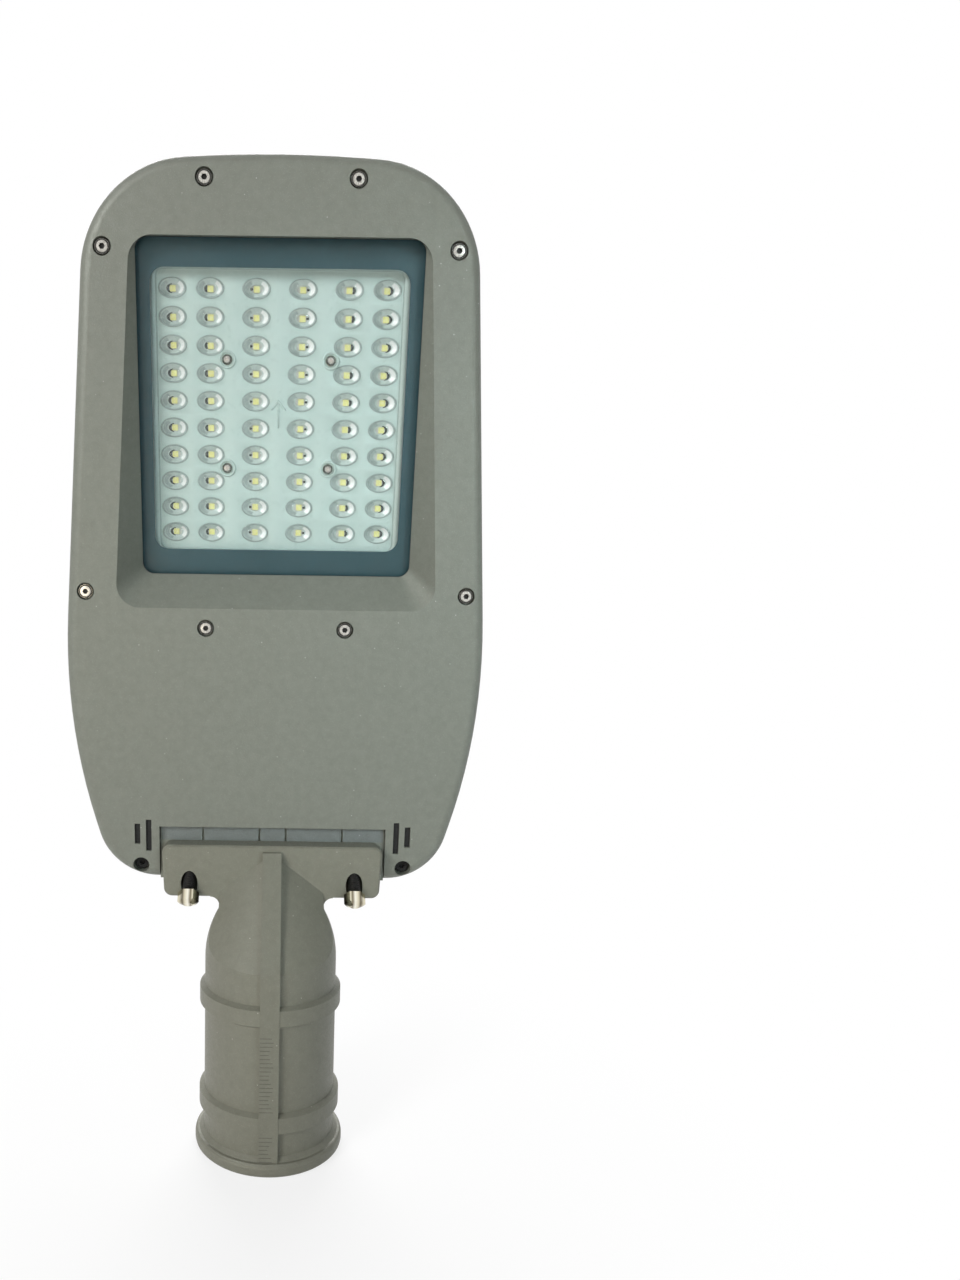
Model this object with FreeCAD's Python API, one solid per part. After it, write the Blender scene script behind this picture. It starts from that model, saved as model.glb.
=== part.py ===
"""LED street light: a finned die-cast head with a sunk LED window, on a cast socket for a pole.

Millimetres. The socket's axis is +Z and its mouth is at the origin, the LED side faces -Y and +X is to the right.
The head is drawn in a frame of its own (X across, Y from the cover's face to the back, Z from tail to head) and then
leans towards the LED side. The window and the LEDs are drawn in a frame that leans a little further.
"""
import FreeCAD, Part
import math
import os

V = FreeCAD.Vector

# Head: plan outline, from the tail (Z 0) to the head end
HEAD_LENGTH = 368.0
WIDEST_HALF = 113.9
WIDEST_Z = 87.6
HEAD_NARROWING = 18.7
HEAD_END_DROP = 5.5
HEAD_CROWN_SHARE = 0.42
HEAD_CORNER = 55.0
SIDE_CURVE_SHARE = 0.64
TAIL_SIDE = 26.5
TAIL_CORNER = 34.0

# Head: lean and place of its tail end
HEAD_LEAN = 5.5
TAIL_Y = 15.8
TAIL_Z = 141.5

# Front cover
COVER_WALL = 3.0
RIM_Y = 15.5
RIM_WALL = 16.0
COVER_EDGE = 6.0
SEAL_WIDTH = 2.5
SEAL_DEPTH = 2.0

# Tail cut-out for the adapter's flange, and the vent slots beside it
CUTOUT_TOP = 30.2
CUTOUT_WALL = 5.7
CUTOUT_SIDE_WALL = 14.5
SEAT_GAP = 0.3
SEAT_ROOT = 4.0
SEAT_GROOVES = (7.3, 38.5)
SEAT_GROOVE_WIDTH = 1.0
SEAT_GROOVE_DEPTH = 1.5
VENT_WIDTH = 3.1
VENT_DEPTH = 6.0
VENTS = ((5.9, 16.0, 34.0), (12.1, 20.0, 31.6))

# Window: opening at the glass, wider mouth on the cover's face
LED_LEAN = 4.5
GLASS_DEPTH = 11.2
OPENING_SIDE = 42.6
OPENING_END = 8.1
OPENING_SHIFT = 8.7
OPENING_CORNER = 6.0
MOUTH_HEAD_SIDE = 21.6
MOUTH_TAIL_SIDE = 30.1
MOUTH_FROM_END = 37.6
MOUTH_TAIL_Z = 150.2
MOUTH_CORNER = 12.0
FUNNEL_WALL = 3.0
LEDGE_WIDTH = 13.0
LEDGE_THICKNESS = 3.0
GLASS_GASKET = 1.5
GLASS_THICKNESS = 4.0
GLASS_LAP = 6.0

# Lens plate, board and chips
LENS_TOP_GAP = 2.0
LENS_HEIGHT = 4.4
LENS_LENGTH = 14.0
LENS_WIDTH = 9.7
LENS_SIDES = 10
LENS_TIERS = ((0.0, 1.0), (0.6, 0.84), (1.0, 0.5))
PLATE_THICKNESS = 2.0
PLATE_SIDE_GAP = 5.3
PLATE_END_GAP = 9.0
PLATE_CORNER = 7.0
PLATE_LIP = 2.4
PLATE_LIP_HEIGHT = 1.4
PLATE_SKIRT = 1.0
LED_COLUMN_SHARES = (0.179, 0.535, 0.826)
LED_ROWS = 10
LED_PITCH_SHARE = 0.185
CHIP_SIZE = 3.0
CHIP_HEIGHT = 0.7
BOARD_MARGIN = 2.0
BOARD_THICKNESS = 1.6
PAD_THICKNESS = 0.5
LENS_SCREW_SHARE = 0.405
LENS_SCREW_DIAMETER = 3.0
LENS_SCREW_HEAD = 5.4
LENS_SCREW_HEAD_GAP = 0.6
LENS_SCREW_HEAD_HEIGHT = 1.8
LENS_SCREW_LENGTH = 8.5
LENS_SCREW_RING = 9.0
LENS_SCREW_RING_HEIGHT = 0.8

# Housing: back surface and finned recess
BACK_FROM_END = 8.0
BACK_OVERRUN = 20.0
BACK_HEAD_DEPTH = 24.5
BACK_MID_Z = 128.0
BACK_MID_DEPTH = 65.0
BACK_TAIL_DEPTH = 69.5
BACK_DRAFT = 10.0
BACK_DRAFT_TOP = 90.0
BACK_EDGE_HEAD = 8.0
BACK_EDGE_SIDE = 27.0
BACK_EDGE_TAIL = 20.0
FLOOR_THICKNESS = 6.0
FLOOR_HEAD_SIDE = 30.2
FLOOR_TAIL_SIDE = 44.4
FLOOR_TAIL_Z = 155.2
FLOOR_CORNER = 12.0
RECESS_SIDE_DRAFT = 16.0
RECESS_END_DRAFT = 54.0
RECESS_OVERRUN = 40.0
RECESS_HEIGHT = 60.0
RECESS_HEAD_CORNER = 1.0
FIN_SHARES = (0.14, 0.371, 0.602, 0.832)
FIN_THICKNESS = (3.6, 7.0, 3.6, 7.0)
FIN_FROM_END = 26.5
FIN_ROOT = 1.0
FIN_NOSE = 2.0
FIN_HEAD_HEIGHT = 2.6
FIN_TAIL_Z = 136.0
FIN_TAIL_HEIGHT = 14.0
FIN_TAPER = 0.6
FIN_END_ROUND = 0.6
BOSS_HALF = 10.2
BOSS_END_Z = 194.0
BOSS_TAIL_Z = 112.0
BOSS_END_DEPTH = 60.5
BOSS_DRAFT = 3.0
BOSS_TAPER = 1.2
BOSS_ROOT = 3.0
BOSS_SINK = 0.5
BOSS_EDGE = 1.6
PAD_RADIUS = 30.5
PAD_Z = 82.3
PAD_PROUD = 1.6
PAD_ROOT = 5.0
PAD_EDGE = 0.8

# Housing: inside
COMPARTMENT_DEPTH = 59.5
COMPARTMENT_HEAD_Z = 118.0
COMPARTMENT_SLOPE_Z = 148.0
CHANNEL_LAP = 8.0
CHANNEL_HALF = 6.0
CHANNEL_DEPTH = 55.0
CHANNEL_HEAD_Z = 186.0

# Screws that hold the cover: two on the head end, two at its corners, two at the sides, two on the bar under the
# window, and two deep ones beside the cut-out
END_SCREW_X = 37.0
END_SCREW_IN = 11.8
CORNER_SCREW_IN = 8.5
CORNER_SCREW_DOWN = 43.0
SIDE_SCREW_IN = 14.5
SIDE_SCREW_UP = 8.2
BAR_SCREW_X = 36.6
BAR_SCREW_DOWN = 10.3
TAIL_SCREW_OUT = 10.3
TAIL_SCREW_Z = 7.6
COUNTERBORE = 9.0
COUNTERBORE_DEPTH = 4.6
TAIL_COUNTERBORE_DEPTH = 9.0
SCREW_DIAMETER = 4.0
SCREW_CLEARANCE = 0.4
SCREW_HEAD = 7.0
SCREW_HEAD_HEIGHT = 4.0
SCREW_SOCKET = 3.0
SCREW_SOCKET_DEPTH = 2.0
SCREW_BITE = 6.5
BAR_BOSS = 13.0
BAR_BOSS_END = 44.0

# Glass clips
CLIP_SIDE_SHARES = (-0.67, 0.0)
CLIP_END_X = 35.0
CLIP_WIDTH = 9.0
CLIP_THICKNESS = 1.2
CLIP_CORNER = 1.2
CLIP_OVER_GLASS = 4.0
CLIP_POST = 6.0
CLIP_POST_GAP = 0.4
CLIP_SCREW_DIAMETER = 3.0
CLIP_SCREW_HEAD = 5.4
CLIP_SCREW_HEAD_HEIGHT = 1.8
CLIP_SCREW_LENGTH = 6.0

# Driver, terminal block, surge protector
DRIVER_SIDE = 44.9
DRIVER_DEPTH = 33.0
DRIVER_HEIGHT = 50.0
DRIVER_Z = 64.0
DRIVER_EDGE = 3.0
DRIVER_EAR = 9.0
DRIVER_EAR_THICKNESS = 2.5
DRIVER_SCREW_INSET = 9.0
SMALL_SCREW_DIAMETER = 4.0
SMALL_SCREW_HEAD = 7.0
SMALL_SCREW_HEAD_HEIGHT = 2.6
SMALL_SCREW_BITE = 4.0
TERMINAL = (34.0, 17.0, 14.0)
TERMINAL_X = -30.0
TERMINAL_WAY = 9.0
TERMINAL_ENTRY = 5.0
TERMINAL_ENTRY_DEPTH = 6.0
TERMINAL_ENTRY_X = 3.5
SURGE = (42.0, 27.0, 15.0)
SURGE_EDGE = 2.0
SURGE_X = 32.0
INSIDE_ROW_Z = 45.0

# Lead from driver to board, and the mains entry
LEAD_DIAMETER = 5.0
LEAD_BEND = 12.0
LEAD_RUN_DEPTH = 47.0
LEAD_FROM_EDGE = 4.5
LEAD_HOLE_GAP = 0.6
CABLE_HOLE = 12.0
CABLE_HOLE_Z = 10.0
CABLE_HOLE_TILT = 44.0
CABLE_HOLE_OUT = 20.0
CABLE_HOLE_LENGTH = 75.0
CABLE_HOLE_BACK = 30.0
GROMMET_BORE = 8.0
GROMMET_LENGTH = 14.0

# Pole adapter
BORE_RADIUS = 31.0
TUBE_WALL = 4.5
BORE_LENGTH = 104.0
RIB_PROUD = 2.7
RIB_HALF = 5.0
RING_WIDTH = 11.5
RING_CHAMFER = 1.6
RINGS_Z = (27.3, 84.7)
RIM_PROUD = 4.8
RIM_HEIGHT = 7.5
RIM_ROUND = 2.4
RIM_STEPS = 3
RIM_BLEND = 2.0
HOOD_MID_IN = 1.9
HOOD_MID_Z = 118.0
HOOD_NECK_IN = 7.0
HOOD_NECK_Z = 130.0
HOOD_ROOF_Z = 106.0
HOOD_ROOF_OUT = 0.5
HOOD_ROOF_SIDE = 4.5
HOOD_APEX_Z = 160.0
HOOD_SIDE_FALL = 0.75
HOOD_WALL = 5.0
HOOD_LINING_BACK = 3.5
HOOD_LINING_DOWN = 6.0
HOOD_BACK_TOP = 139.5
HOOD_FILLET = 5.0
FLANGE_FRONT = 5.0
FLANGE_THICKNESS = 12.0
FLANGE_HALF = 60.2
FLANGE_SIDE_GAP = 2.1
FLANGE_BOTTOM = 134.8
FLANGE_HEIGHT = 28.4
FLANGE_CORNER = 4.5
FLANGE_DRAFT = 1.6
FLANGE_EDGE = 1.0
FLANGE_POCKET_HALF = 24.0
FLANGE_POCKET_DEPTH = 7.0
FLANGE_POCKET_EDGE = 3.5
CLAMP_BOSS = 16.0
CLAMP_BOSS_PROUD = 7.0
CLAMP_DIAMETER = 8.0
CLAMP_HEAD = 13.0
CLAMP_HEAD_HEIGHT = 8.0
CLAMP_SOCKET = 6.0
CLAMP_SOCKET_DEPTH = 4.0
CLAMP_STOP = 0.3

# Flange bolts: they slant down out of the flange's face
BOLT_SIDE = 15.2
BOLT_Z = 141.8
BOLT_SLANT = 50.0
BOLT_DIAMETER = 6.0
BOLT_HOLE = 9.2
BOLT_HOLE_OUT = 15.0
BOLT_HOLE_LENGTH = 50.0
BOLT_ACROSS_FLATS = 10.0
BOLT_HEAD_HEIGHT = 7.0
BOLT_HEAD_CHAMFER = 1.6
BOLT_STAND_OFF = 5.0
BOLT_BITE = 14.0

LED_TILT = math.tan(math.radians(LED_LEAN))
FAR = 600.0
OVER = 1.0
TINY = 0.01

# Widths and places that follow from the sizes above
HEAD_END_HALF = WIDEST_HALF - HEAD_NARROWING
CUTOUT_HALF = FLANGE_HALF + FLANGE_SIDE_GAP
TAIL_HALF = CUTOUT_HALF + TAIL_SIDE
OPENING_HALF_X = WIDEST_HALF - OPENING_SIDE
MOUTH_HEAD_HALF = HEAD_END_HALF - MOUTH_HEAD_SIDE
MOUTH_TAIL_HALF = WIDEST_HALF - MOUTH_TAIL_SIDE
MOUTH_HEAD_Z = HEAD_LENGTH - MOUTH_FROM_END
OPENING_HALF_Z = (MOUTH_HEAD_Z - MOUTH_TAIL_Z) / 2 - OPENING_END
WINDOW_Z = (MOUTH_HEAD_Z + MOUTH_TAIL_Z) / 2 + OPENING_SHIFT
PLATE_HALF_X = OPENING_HALF_X - PLATE_SIDE_GAP
PLATE_HALF_Z = OPENING_HALF_Z - PLATE_END_GAP
LED_PITCH = PLATE_HALF_Z * LED_PITCH_SHARE
LEAD_BOARD_Z = LEAD_FROM_EDGE - PLATE_HALF_Z
FLOOR_HEAD_HALF = HEAD_END_HALF - FLOOR_HEAD_SIDE
FLOOR_TAIL_HALF = WIDEST_HALF - FLOOR_TAIL_SIDE
BACK_HEAD_Z = HEAD_LENGTH - BACK_FROM_END
FIN_HEAD_Z = HEAD_LENGTH - FIN_FROM_END
DRIVER_HALF = WIDEST_HALF - DRIVER_SIDE
TUBE_RADIUS = BORE_RADIUS + TUBE_WALL
RIB_RADIUS = TUBE_RADIUS + RIB_PROUD
RIM_RADIUS = TUBE_RADIUS + RIM_PROUD
HOOD_MID = (TUBE_RADIUS - HOOD_MID_IN, HOOD_MID_Z)
HOOD_NECK = (TUBE_RADIUS - HOOD_NECK_IN, HOOD_NECK_Z)
CLAMP_BOSS_REACH = TUBE_RADIUS + CLAMP_BOSS_PROUD
BOLT_X = FLANGE_HALF - BOLT_SIDE
COVER_SCREWS = ((END_SCREW_X, HEAD_LENGTH - END_SCREW_IN),
                (HEAD_END_HALF - CORNER_SCREW_IN, HEAD_LENGTH - CORNER_SCREW_DOWN),
                (WIDEST_HALF - SIDE_SCREW_IN, MOUTH_TAIL_Z + SIDE_SCREW_UP),
                (BAR_SCREW_X, MOUTH_TAIL_Z - BAR_SCREW_DOWN))

head_place = FreeCAD.Placement(V(0, TAIL_Y, TAIL_Z), FreeCAD.Rotation(V(1, 0, 0), HEAD_LEAN))
window_place = FreeCAD.Placement(V(0, GLASS_DEPTH, WINDOW_Z), FreeCAD.Rotation(V(1, 0, 0), LED_LEAN))

# Depths in the window's frame, from the front of the glass towards the back
LENS_TOP = GLASS_THICKNESS + LENS_TOP_GAP
PLATE_FRONT = LENS_TOP + LENS_HEIGHT
PLATE_BACK = PLATE_FRONT + PLATE_THICKNESS
BOARD_FRONT = PLATE_BACK + PLATE_SKIRT
BOARD_BACK = BOARD_FRONT + BOARD_THICKNESS
PLATEAU = BOARD_BACK + PAD_THICKNESS
FLOOR = PLATEAU + FLOOR_THICKNESS


def moved(shape, place):
    """A copy of a shape, put where a placement takes it."""
    copy = shape.copy()
    copy.Placement = place.multiply(copy.Placement)
    return copy


def mirrored(shape):
    """The same shape on the other side of the middle."""
    return shape.mirror(V(0, 0, 0), V(1, 0, 0))


def both_sides(shapes):
    return shapes + [mirrored(shape) for shape in shapes]


def rounded_wire(points, radii, y=0.0):
    """Closed outline in the XZ plane at depth y, through corner points that are rounded by arcs."""
    corners = [V(x, y, z) for x, z in points]
    count = len(corners)
    starts, middles, ends = [], [], []
    for index, corner in enumerate(corners):
        before = (corners[index - 1] - corner).normalize()
        after = (corners[(index + 1) % count] - corner).normalize()
        half = before.getAngle(after) / 2
        reach = radii[index] / math.tan(half)
        inward = (before + after).normalize()
        starts.append(corner + before * reach)
        ends.append(corner + after * reach)
        middles.append(corner + inward * (radii[index] / math.sin(half) - radii[index]))
    edges = []
    for index in range(count):
        edges.append(Part.Arc(starts[index], middles[index], ends[index]).toShape())
        following = starts[(index + 1) % count]
        if ends[index].distanceToPoint(following) > 1e-6:
            edges.append(Part.LineSegment(ends[index], following).toShape())
    return Part.Wire(edges)


def rounded_rectangle(half_x, half_z, corner, y=0.0):
    points = [(half_x, half_z), (-half_x, half_z), (-half_x, -half_z), (half_x, -half_z)]
    return rounded_wire(points, [corner] * 4, y)


def prism(wire, y_from, y_to):
    """Solid from an outline in the XZ plane, between two depths."""
    face = Part.Face(wire)
    face.translate(V(0, y_from - wire.BoundBox.YMin, 0))
    return face.extrude(V(0, y_to - y_from, 0))


def block(x_from, x_to, y_from, y_to, z_from, z_to):
    return Part.makeBox(x_to - x_from, y_to - y_from, z_to - z_from, V(x_from, y_from, z_from))


def side_prism(points, half_width):
    """Solid from a (y, z) polygon, across the middle by half_width each way."""
    ring = [V(-half_width, y, z) for y, z in points]
    return Part.Face(Part.makePolygon(ring + ring[:1])).extrude(V(2 * half_width, 0, 0))


def rod(diameter, start, direction, length):
    return Part.makeCylinder(diameter / 2, length, start, direction)


def hex_prism(across_flats, start, direction, length):
    radius = across_flats / math.sqrt(3)
    points = [V(radius * math.cos(math.radians(60 * k)), radius * math.sin(math.radians(60 * k)), 0) for k in range(6)]
    solid = Part.Face(Part.makePolygon(points + points[:1])).extrude(V(0, 0, length))
    solid.Placement = FreeCAD.Placement(start, FreeCAD.Rotation(V(0, 0, 1), direction))
    return solid


def socket_screw(seat, direction, shank, length, head, head_height, socket, socket_depth):
    """Cap screw: direction points into the work, seat is the middle of the face under its head."""
    top = seat - direction * head_height
    body = rod(head, top, direction, head_height).fuse(rod(shank, seat, direction, length))
    return body.removeSplitter().cut(hex_prism(socket, top, direction, socket_depth))


def pan_screw(seat, direction, shank, length, head, head_height):
    top = seat - direction * head_height
    rim = head_height / 2
    dome = Part.makeCone(head / 2 - rim, head / 2, rim, top, direction)
    skirt = rod(head, top + direction * rim, direction, head_height - rim)
    return dome.fuse([skirt, rod(shank, seat, direction, length)]).removeSplitter()


def drawn_in(points, inset):
    """Corners of the polygon whose sides are moved inwards by inset."""
    corners = []
    for before, corner, after in zip(points[-1:] + points[:-1], points, points[1:] + points[:1]):
        normals = []
        for start, end in ((before, corner), (corner, after)):
            length = math.hypot(end[0] - start[0], end[1] - start[1])
            normals.append(((start[1] - end[1]) / length, (end[0] - start[0]) / length))
        (first_x, first_z), (second_x, second_z) = normals
        share = inset / (1 + first_x * second_x + first_z * second_z)
        corners.append((corner[0] + share * (first_x + second_x), corner[1] + share * (first_z + second_z)))
    return corners


def head_outline(inset, y):
    """Plan outline of the head, drawn in by inset: crowned end, round corners, sides that widen towards the tail."""
    slope = math.atan2(HEAD_END_DROP, HEAD_END_HALF)
    crown = HEAD_CROWN_SHARE * HEAD_END_HALF / math.sin(slope)
    peak_z = HEAD_LENGTH + crown * (1 / math.cos(slope) - 1)
    end_z = peak_z - HEAD_END_DROP
    upper_lean = math.atan2(WIDEST_HALF - HEAD_END_HALF, end_z - WIDEST_Z)
    lower_lean = math.atan2(WIDEST_HALF - TAIL_HALF, WIDEST_Z)
    lower_side = math.hypot(WIDEST_HALF - TAIL_HALF, WIDEST_Z)
    side_curve = SIDE_CURVE_SHARE * lower_side / math.tan((upper_lean + lower_lean) / 2)
    points = [(0, peak_z), (-HEAD_END_HALF, end_z), (-WIDEST_HALF, WIDEST_Z), (-TAIL_HALF, 0),
              (TAIL_HALF, 0), (WIDEST_HALF, WIDEST_Z), (HEAD_END_HALF, end_z)]
    radii = [crown, HEAD_CORNER, side_curve, TAIL_CORNER, TAIL_CORNER, side_curve, HEAD_CORNER]
    return rounded_wire(drawn_in(points, inset), [radius - inset for radius in radii], y)


outline = head_outline(0, 0)


def inner_region(inset, y_from, y_to):
    """The head's plan drawn in by inset, without the tail cut-out and a wall of that width round it."""
    region = prism(outline.makeOffset2D(-inset), y_from, y_to)
    seal = inset - (RIM_WALL - SEAL_WIDTH)
    half, top = CUTOUT_HALF + CUTOUT_SIDE_WALL + seal, CUTOUT_TOP + CUTOUT_WALL + seal
    cutout = block(-half, half, y_from - OVER, y_to + OVER, -FAR, top)
    return region.cut(cutout)


def window_mouth(grow, y):
    points = [(MOUTH_HEAD_HALF + grow, MOUTH_HEAD_Z + grow), (-MOUTH_HEAD_HALF - grow, MOUTH_HEAD_Z + grow),
              (-MOUTH_TAIL_HALF - grow, MOUTH_TAIL_Z - grow), (MOUTH_TAIL_HALF + grow, MOUTH_TAIL_Z - grow)]
    return rounded_wire(points, [MOUTH_CORNER + grow] * 4, y)


def window_opening(grow, depth):
    wire = rounded_rectangle(OPENING_HALF_X + grow, OPENING_HALF_Z + grow, OPENING_CORNER + grow, depth)
    return moved(wire, window_place)


def in_window(shape):
    return moved(shape, window_place)


def screw_places():
    return [V(side * x, 0, z) for x, z in COVER_SCREWS for side in (-1, 1)]


def tail_places():
    return [V(side * (CUTOUT_HALF + TAIL_SCREW_OUT), 0, TAIL_SCREW_Z) for side in (-1, 1)]


INWARD = V(0, 1, 0)


def make_front_cover():
    body = prism(outline, 0, RIM_Y)
    front_edges = [edge for edge in body.Edges if edge.BoundBox.YMax < TINY]
    body = body.makeFillet(COVER_EDGE, front_edges)
    body = body.cut(inner_region(RIM_WALL, COVER_WALL, RIM_Y + OVER))
    ledge_back = -GLASS_GASKET
    ledge_front = ledge_back - LEDGE_THICKNESS
    funnel = Part.makeLoft([window_mouth(FUNNEL_WALL, OVER), window_opening(FUNNEL_WALL, ledge_back)], True, True)
    ring = prism(rounded_rectangle(OPENING_HALF_X + LEDGE_WIDTH, OPENING_HALF_Z + LEDGE_WIDTH,
                                   OPENING_CORNER + LEDGE_WIDTH), ledge_front, ledge_back)
    ring = in_window(ring).common(prism(outline.makeOffset2D(OVER - RIM_WALL), COVER_WALL / 2, FAR))
    posts = [in_window(post) for post in clip_posts()]
    bar_bosses = [rod(BAR_BOSS, place + INWARD * OVER, INWARD, RIM_Y - OVER) for place in screw_places()[-2:]]
    body = body.fuse([funnel, ring] + posts + bar_bosses)
    mouth = Part.makeLoft([window_mouth(0, 0), window_opening(0, ledge_back)], True, True)
    bed = GLASS_LAP + CLIP_POST_GAP / 2
    cuts = [mouth, in_window(prism(rounded_rectangle(OPENING_HALF_X + bed, OPENING_HALF_Z + bed, OPENING_CORNER),
                                   ledge_back, FAR))]
    cuts.append(block(-CUTOUT_HALF, CUTOUT_HALF, -OVER, RIM_Y + OVER, -OVER, CUTOUT_TOP))
    for place in screw_places():
        cuts.append(rod(COUNTERBORE, place - INWARD * OVER, INWARD, COUNTERBORE_DEPTH + OVER))
        cuts.append(rod(SCREW_DIAMETER + SCREW_CLEARANCE, place, INWARD, RIM_Y + OVER))
    for place in tail_places():
        cuts.append(rod(COUNTERBORE, place - INWARD * OVER, INWARD, TAIL_COUNTERBORE_DEPTH + OVER))
        cuts.append(rod(SCREW_DIAMETER + SCREW_CLEARANCE, place, INWARD, RIM_Y + OVER))
    for out, z_from, z_to in VENTS:
        x = CUTOUT_HALF + out
        slot = block(x - VENT_WIDTH / 2, x + VENT_WIDTH / 2, -OVER, VENT_DEPTH, z_from, z_to)
        cuts += both_sides([slot])
    cuts += [in_window(hole) for hole in clip_holes()]
    return body.cut(cuts)


def clip_sites():
    """Middle of each clip's post, in the window's frame, and the turn that points the clip at the glass."""
    reach = GLASS_LAP + CLIP_POST_GAP + CLIP_POST / 2
    heights = [share * OPENING_HALF_Z for share in CLIP_SIDE_SHARES]
    sites = [(V(-OPENING_HALF_X - reach, 0, z), 0) for z in heights]
    sites += [(V(OPENING_HALF_X + reach, 0, z), 180) for z in heights]
    return sites + [(V(side * CLIP_END_X, 0, OPENING_HALF_Z + reach), 90) for side in (-1, 1)]


def clip_posts():
    back = -GLASS_GASKET - OVER
    return [rod(CLIP_POST, site + INWARD * back, INWARD, GLASS_THICKNESS - back) for site, turn in clip_sites()]


def clip_holes():
    start = GLASS_THICKNESS - CLIP_SCREW_LENGTH + CLIP_THICKNESS
    return [rod(CLIP_SCREW_DIAMETER, site + INWARD * start, INWARD, CLIP_SCREW_LENGTH) for site, turn in clip_sites()]


def make_glass_clips():
    clips = []
    inner = CLIP_POST / 2 + CLIP_POST_GAP + CLIP_OVER_GLASS
    for site, turn in clip_sites():
        plate = block(-CLIP_POST / 2, inner, GLASS_THICKNESS, GLASS_THICKNESS + CLIP_THICKNESS,
                      -CLIP_WIDTH / 2, CLIP_WIDTH / 2)
        upright = [edge for edge in plate.Edges if edge.BoundBox.YLength > CLIP_THICKNESS / 2]
        plate = plate.makeChamfer(CLIP_CORNER, upright)
        plate = plate.cut(rod(CLIP_SCREW_DIAMETER, V(0, 0, 0), INWARD, FAR))
        clips.append(moved(plate, FreeCAD.Placement(site, FreeCAD.Rotation(INWARD, turn))))
    return in_window(Part.makeCompound(clips))


def make_clip_screws():
    seat = GLASS_THICKNESS + CLIP_THICKNESS
    screws = [pan_screw(site + INWARD * seat, -INWARD, CLIP_SCREW_DIAMETER, CLIP_SCREW_LENGTH, CLIP_SCREW_HEAD,
                        CLIP_SCREW_HEAD_HEIGHT) for site, turn in clip_sites()]
    return in_window(Part.makeCompound(screws))


def make_glass():
    return in_window(prism(rounded_rectangle(OPENING_HALF_X + GLASS_LAP, OPENING_HALF_Z + GLASS_LAP,
                                             OPENING_CORNER), 0, GLASS_THICKNESS))


def make_glass_gasket():
    outer = prism(rounded_rectangle(OPENING_HALF_X + GLASS_LAP, OPENING_HALF_Z + GLASS_LAP, OPENING_CORNER),
                  -GLASS_GASKET, 0)
    inner = prism(rounded_rectangle(OPENING_HALF_X, OPENING_HALF_Z, OPENING_CORNER), -GLASS_GASKET - OVER, OVER)
    return in_window(outer.cut(inner))


def lens_sites():
    rows = [(k - (LED_ROWS - 1) / 2) * LED_PITCH for k in range(LED_ROWS)]
    columns = [share * PLATE_HALF_X for share in LED_COLUMN_SHARES]
    return [V(side * x, 0, z) for x in columns for side in (-1, 1) for z in rows]


def lens_screw_sites():
    x, z = LENS_SCREW_SHARE * PLATE_HALF_X, 2 * LED_PITCH
    return [V(sx * x, 0, sz * z) for sx in (-1, 1) for sz in (-1, 1)]


def lens_ring(site, y, size):
    """Oval outline of a lens at one height, as flats."""
    ring = []
    for step in range(LENS_SIDES):
        angle = 2 * math.pi * (step + 0.5) / LENS_SIDES
        ring.append(V(site.x + size * LENS_LENGTH / 2 * math.cos(angle), y,
                      site.z + size * LENS_WIDTH / 2 * math.sin(angle)))
    return Part.makePolygon(ring + ring[:1])


def make_lens(site):
    """Domed lens: two tiers of flats under a small flat top."""
    rings = [lens_ring(site, PLATE_FRONT - rise * LENS_HEIGHT, size) for rise, size in LENS_TIERS]
    return Part.makeLoft(rings, True, True)


def make_lens_plate():
    plate = prism(rounded_rectangle(PLATE_HALF_X, PLATE_HALF_Z, PLATE_CORNER), PLATE_FRONT, PLATE_BACK)
    frame = prism(rounded_rectangle(PLATE_HALF_X, PLATE_HALF_Z, PLATE_CORNER), PLATE_FRONT - PLATE_LIP_HEIGHT, BOARD_FRONT)
    frame = frame.cut(prism(rounded_rectangle(PLATE_HALF_X - PLATE_LIP, PLATE_HALF_Z - PLATE_LIP,
                                              PLATE_CORNER - PLATE_LIP), 0, FAR))
    lenses = [make_lens(site) for site in lens_sites()]
    rings = []
    holes = []
    for site in lens_screw_sites():
        rings.append(rod(LENS_SCREW_RING, site + INWARD * (PLATE_FRONT - LENS_SCREW_RING_HEIGHT), INWARD,
                         LENS_SCREW_RING_HEIGHT))
        rings.append(rod(LENS_SCREW_RING, site + INWARD * PLATE_BACK, INWARD, PLATE_SKIRT))
        holes.append(rod(LENS_SCREW_HEAD + 2 * LENS_SCREW_HEAD_GAP, site, INWARD, PLATE_FRONT))
        holes.append(rod(LENS_SCREW_DIAMETER, site, INWARD, FAR))
    body = plate.fuse([frame] + lenses + rings).removeSplitter()
    return in_window(body.cut(holes))


def make_lens_screws():
    screws = [pan_screw(site + INWARD * PLATE_FRONT, INWARD, LENS_SCREW_DIAMETER, LENS_SCREW_LENGTH, LENS_SCREW_HEAD,
                        LENS_SCREW_HEAD_HEIGHT) for site in lens_screw_sites()]
    return in_window(Part.makeCompound(screws))


def lens_screw_holes():
    return [rod(LENS_SCREW_DIAMETER, site + INWARD * PLATE_FRONT, INWARD, LENS_SCREW_LENGTH)
            for site in lens_screw_sites()]


def make_led_chips():
    half = CHIP_SIZE / 2
    chips = [block(site.x - half, site.x + half, BOARD_FRONT - CHIP_HEIGHT, BOARD_FRONT, site.z - half, site.z + half)
             for site in lens_sites()]
    return in_window(Part.makeCompound(chips))


def lead_hole():
    return rod(LEAD_DIAMETER + LEAD_HOLE_GAP, V(0, 0, LEAD_BOARD_Z), INWARD, FAR)


def board_sheet(y_from, y_to):
    sheet = prism(rounded_rectangle(PLATE_HALF_X + BOARD_MARGIN, PLATE_HALF_Z + BOARD_MARGIN, PLATE_CORNER), y_from, y_to)
    return in_window(sheet.cut(lens_screw_holes() + [lead_hole()]))


def make_led_board():
    return board_sheet(BOARD_FRONT, BOARD_BACK)


def make_thermal_pad():
    return board_sheet(BOARD_BACK, PLATEAU)


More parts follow.
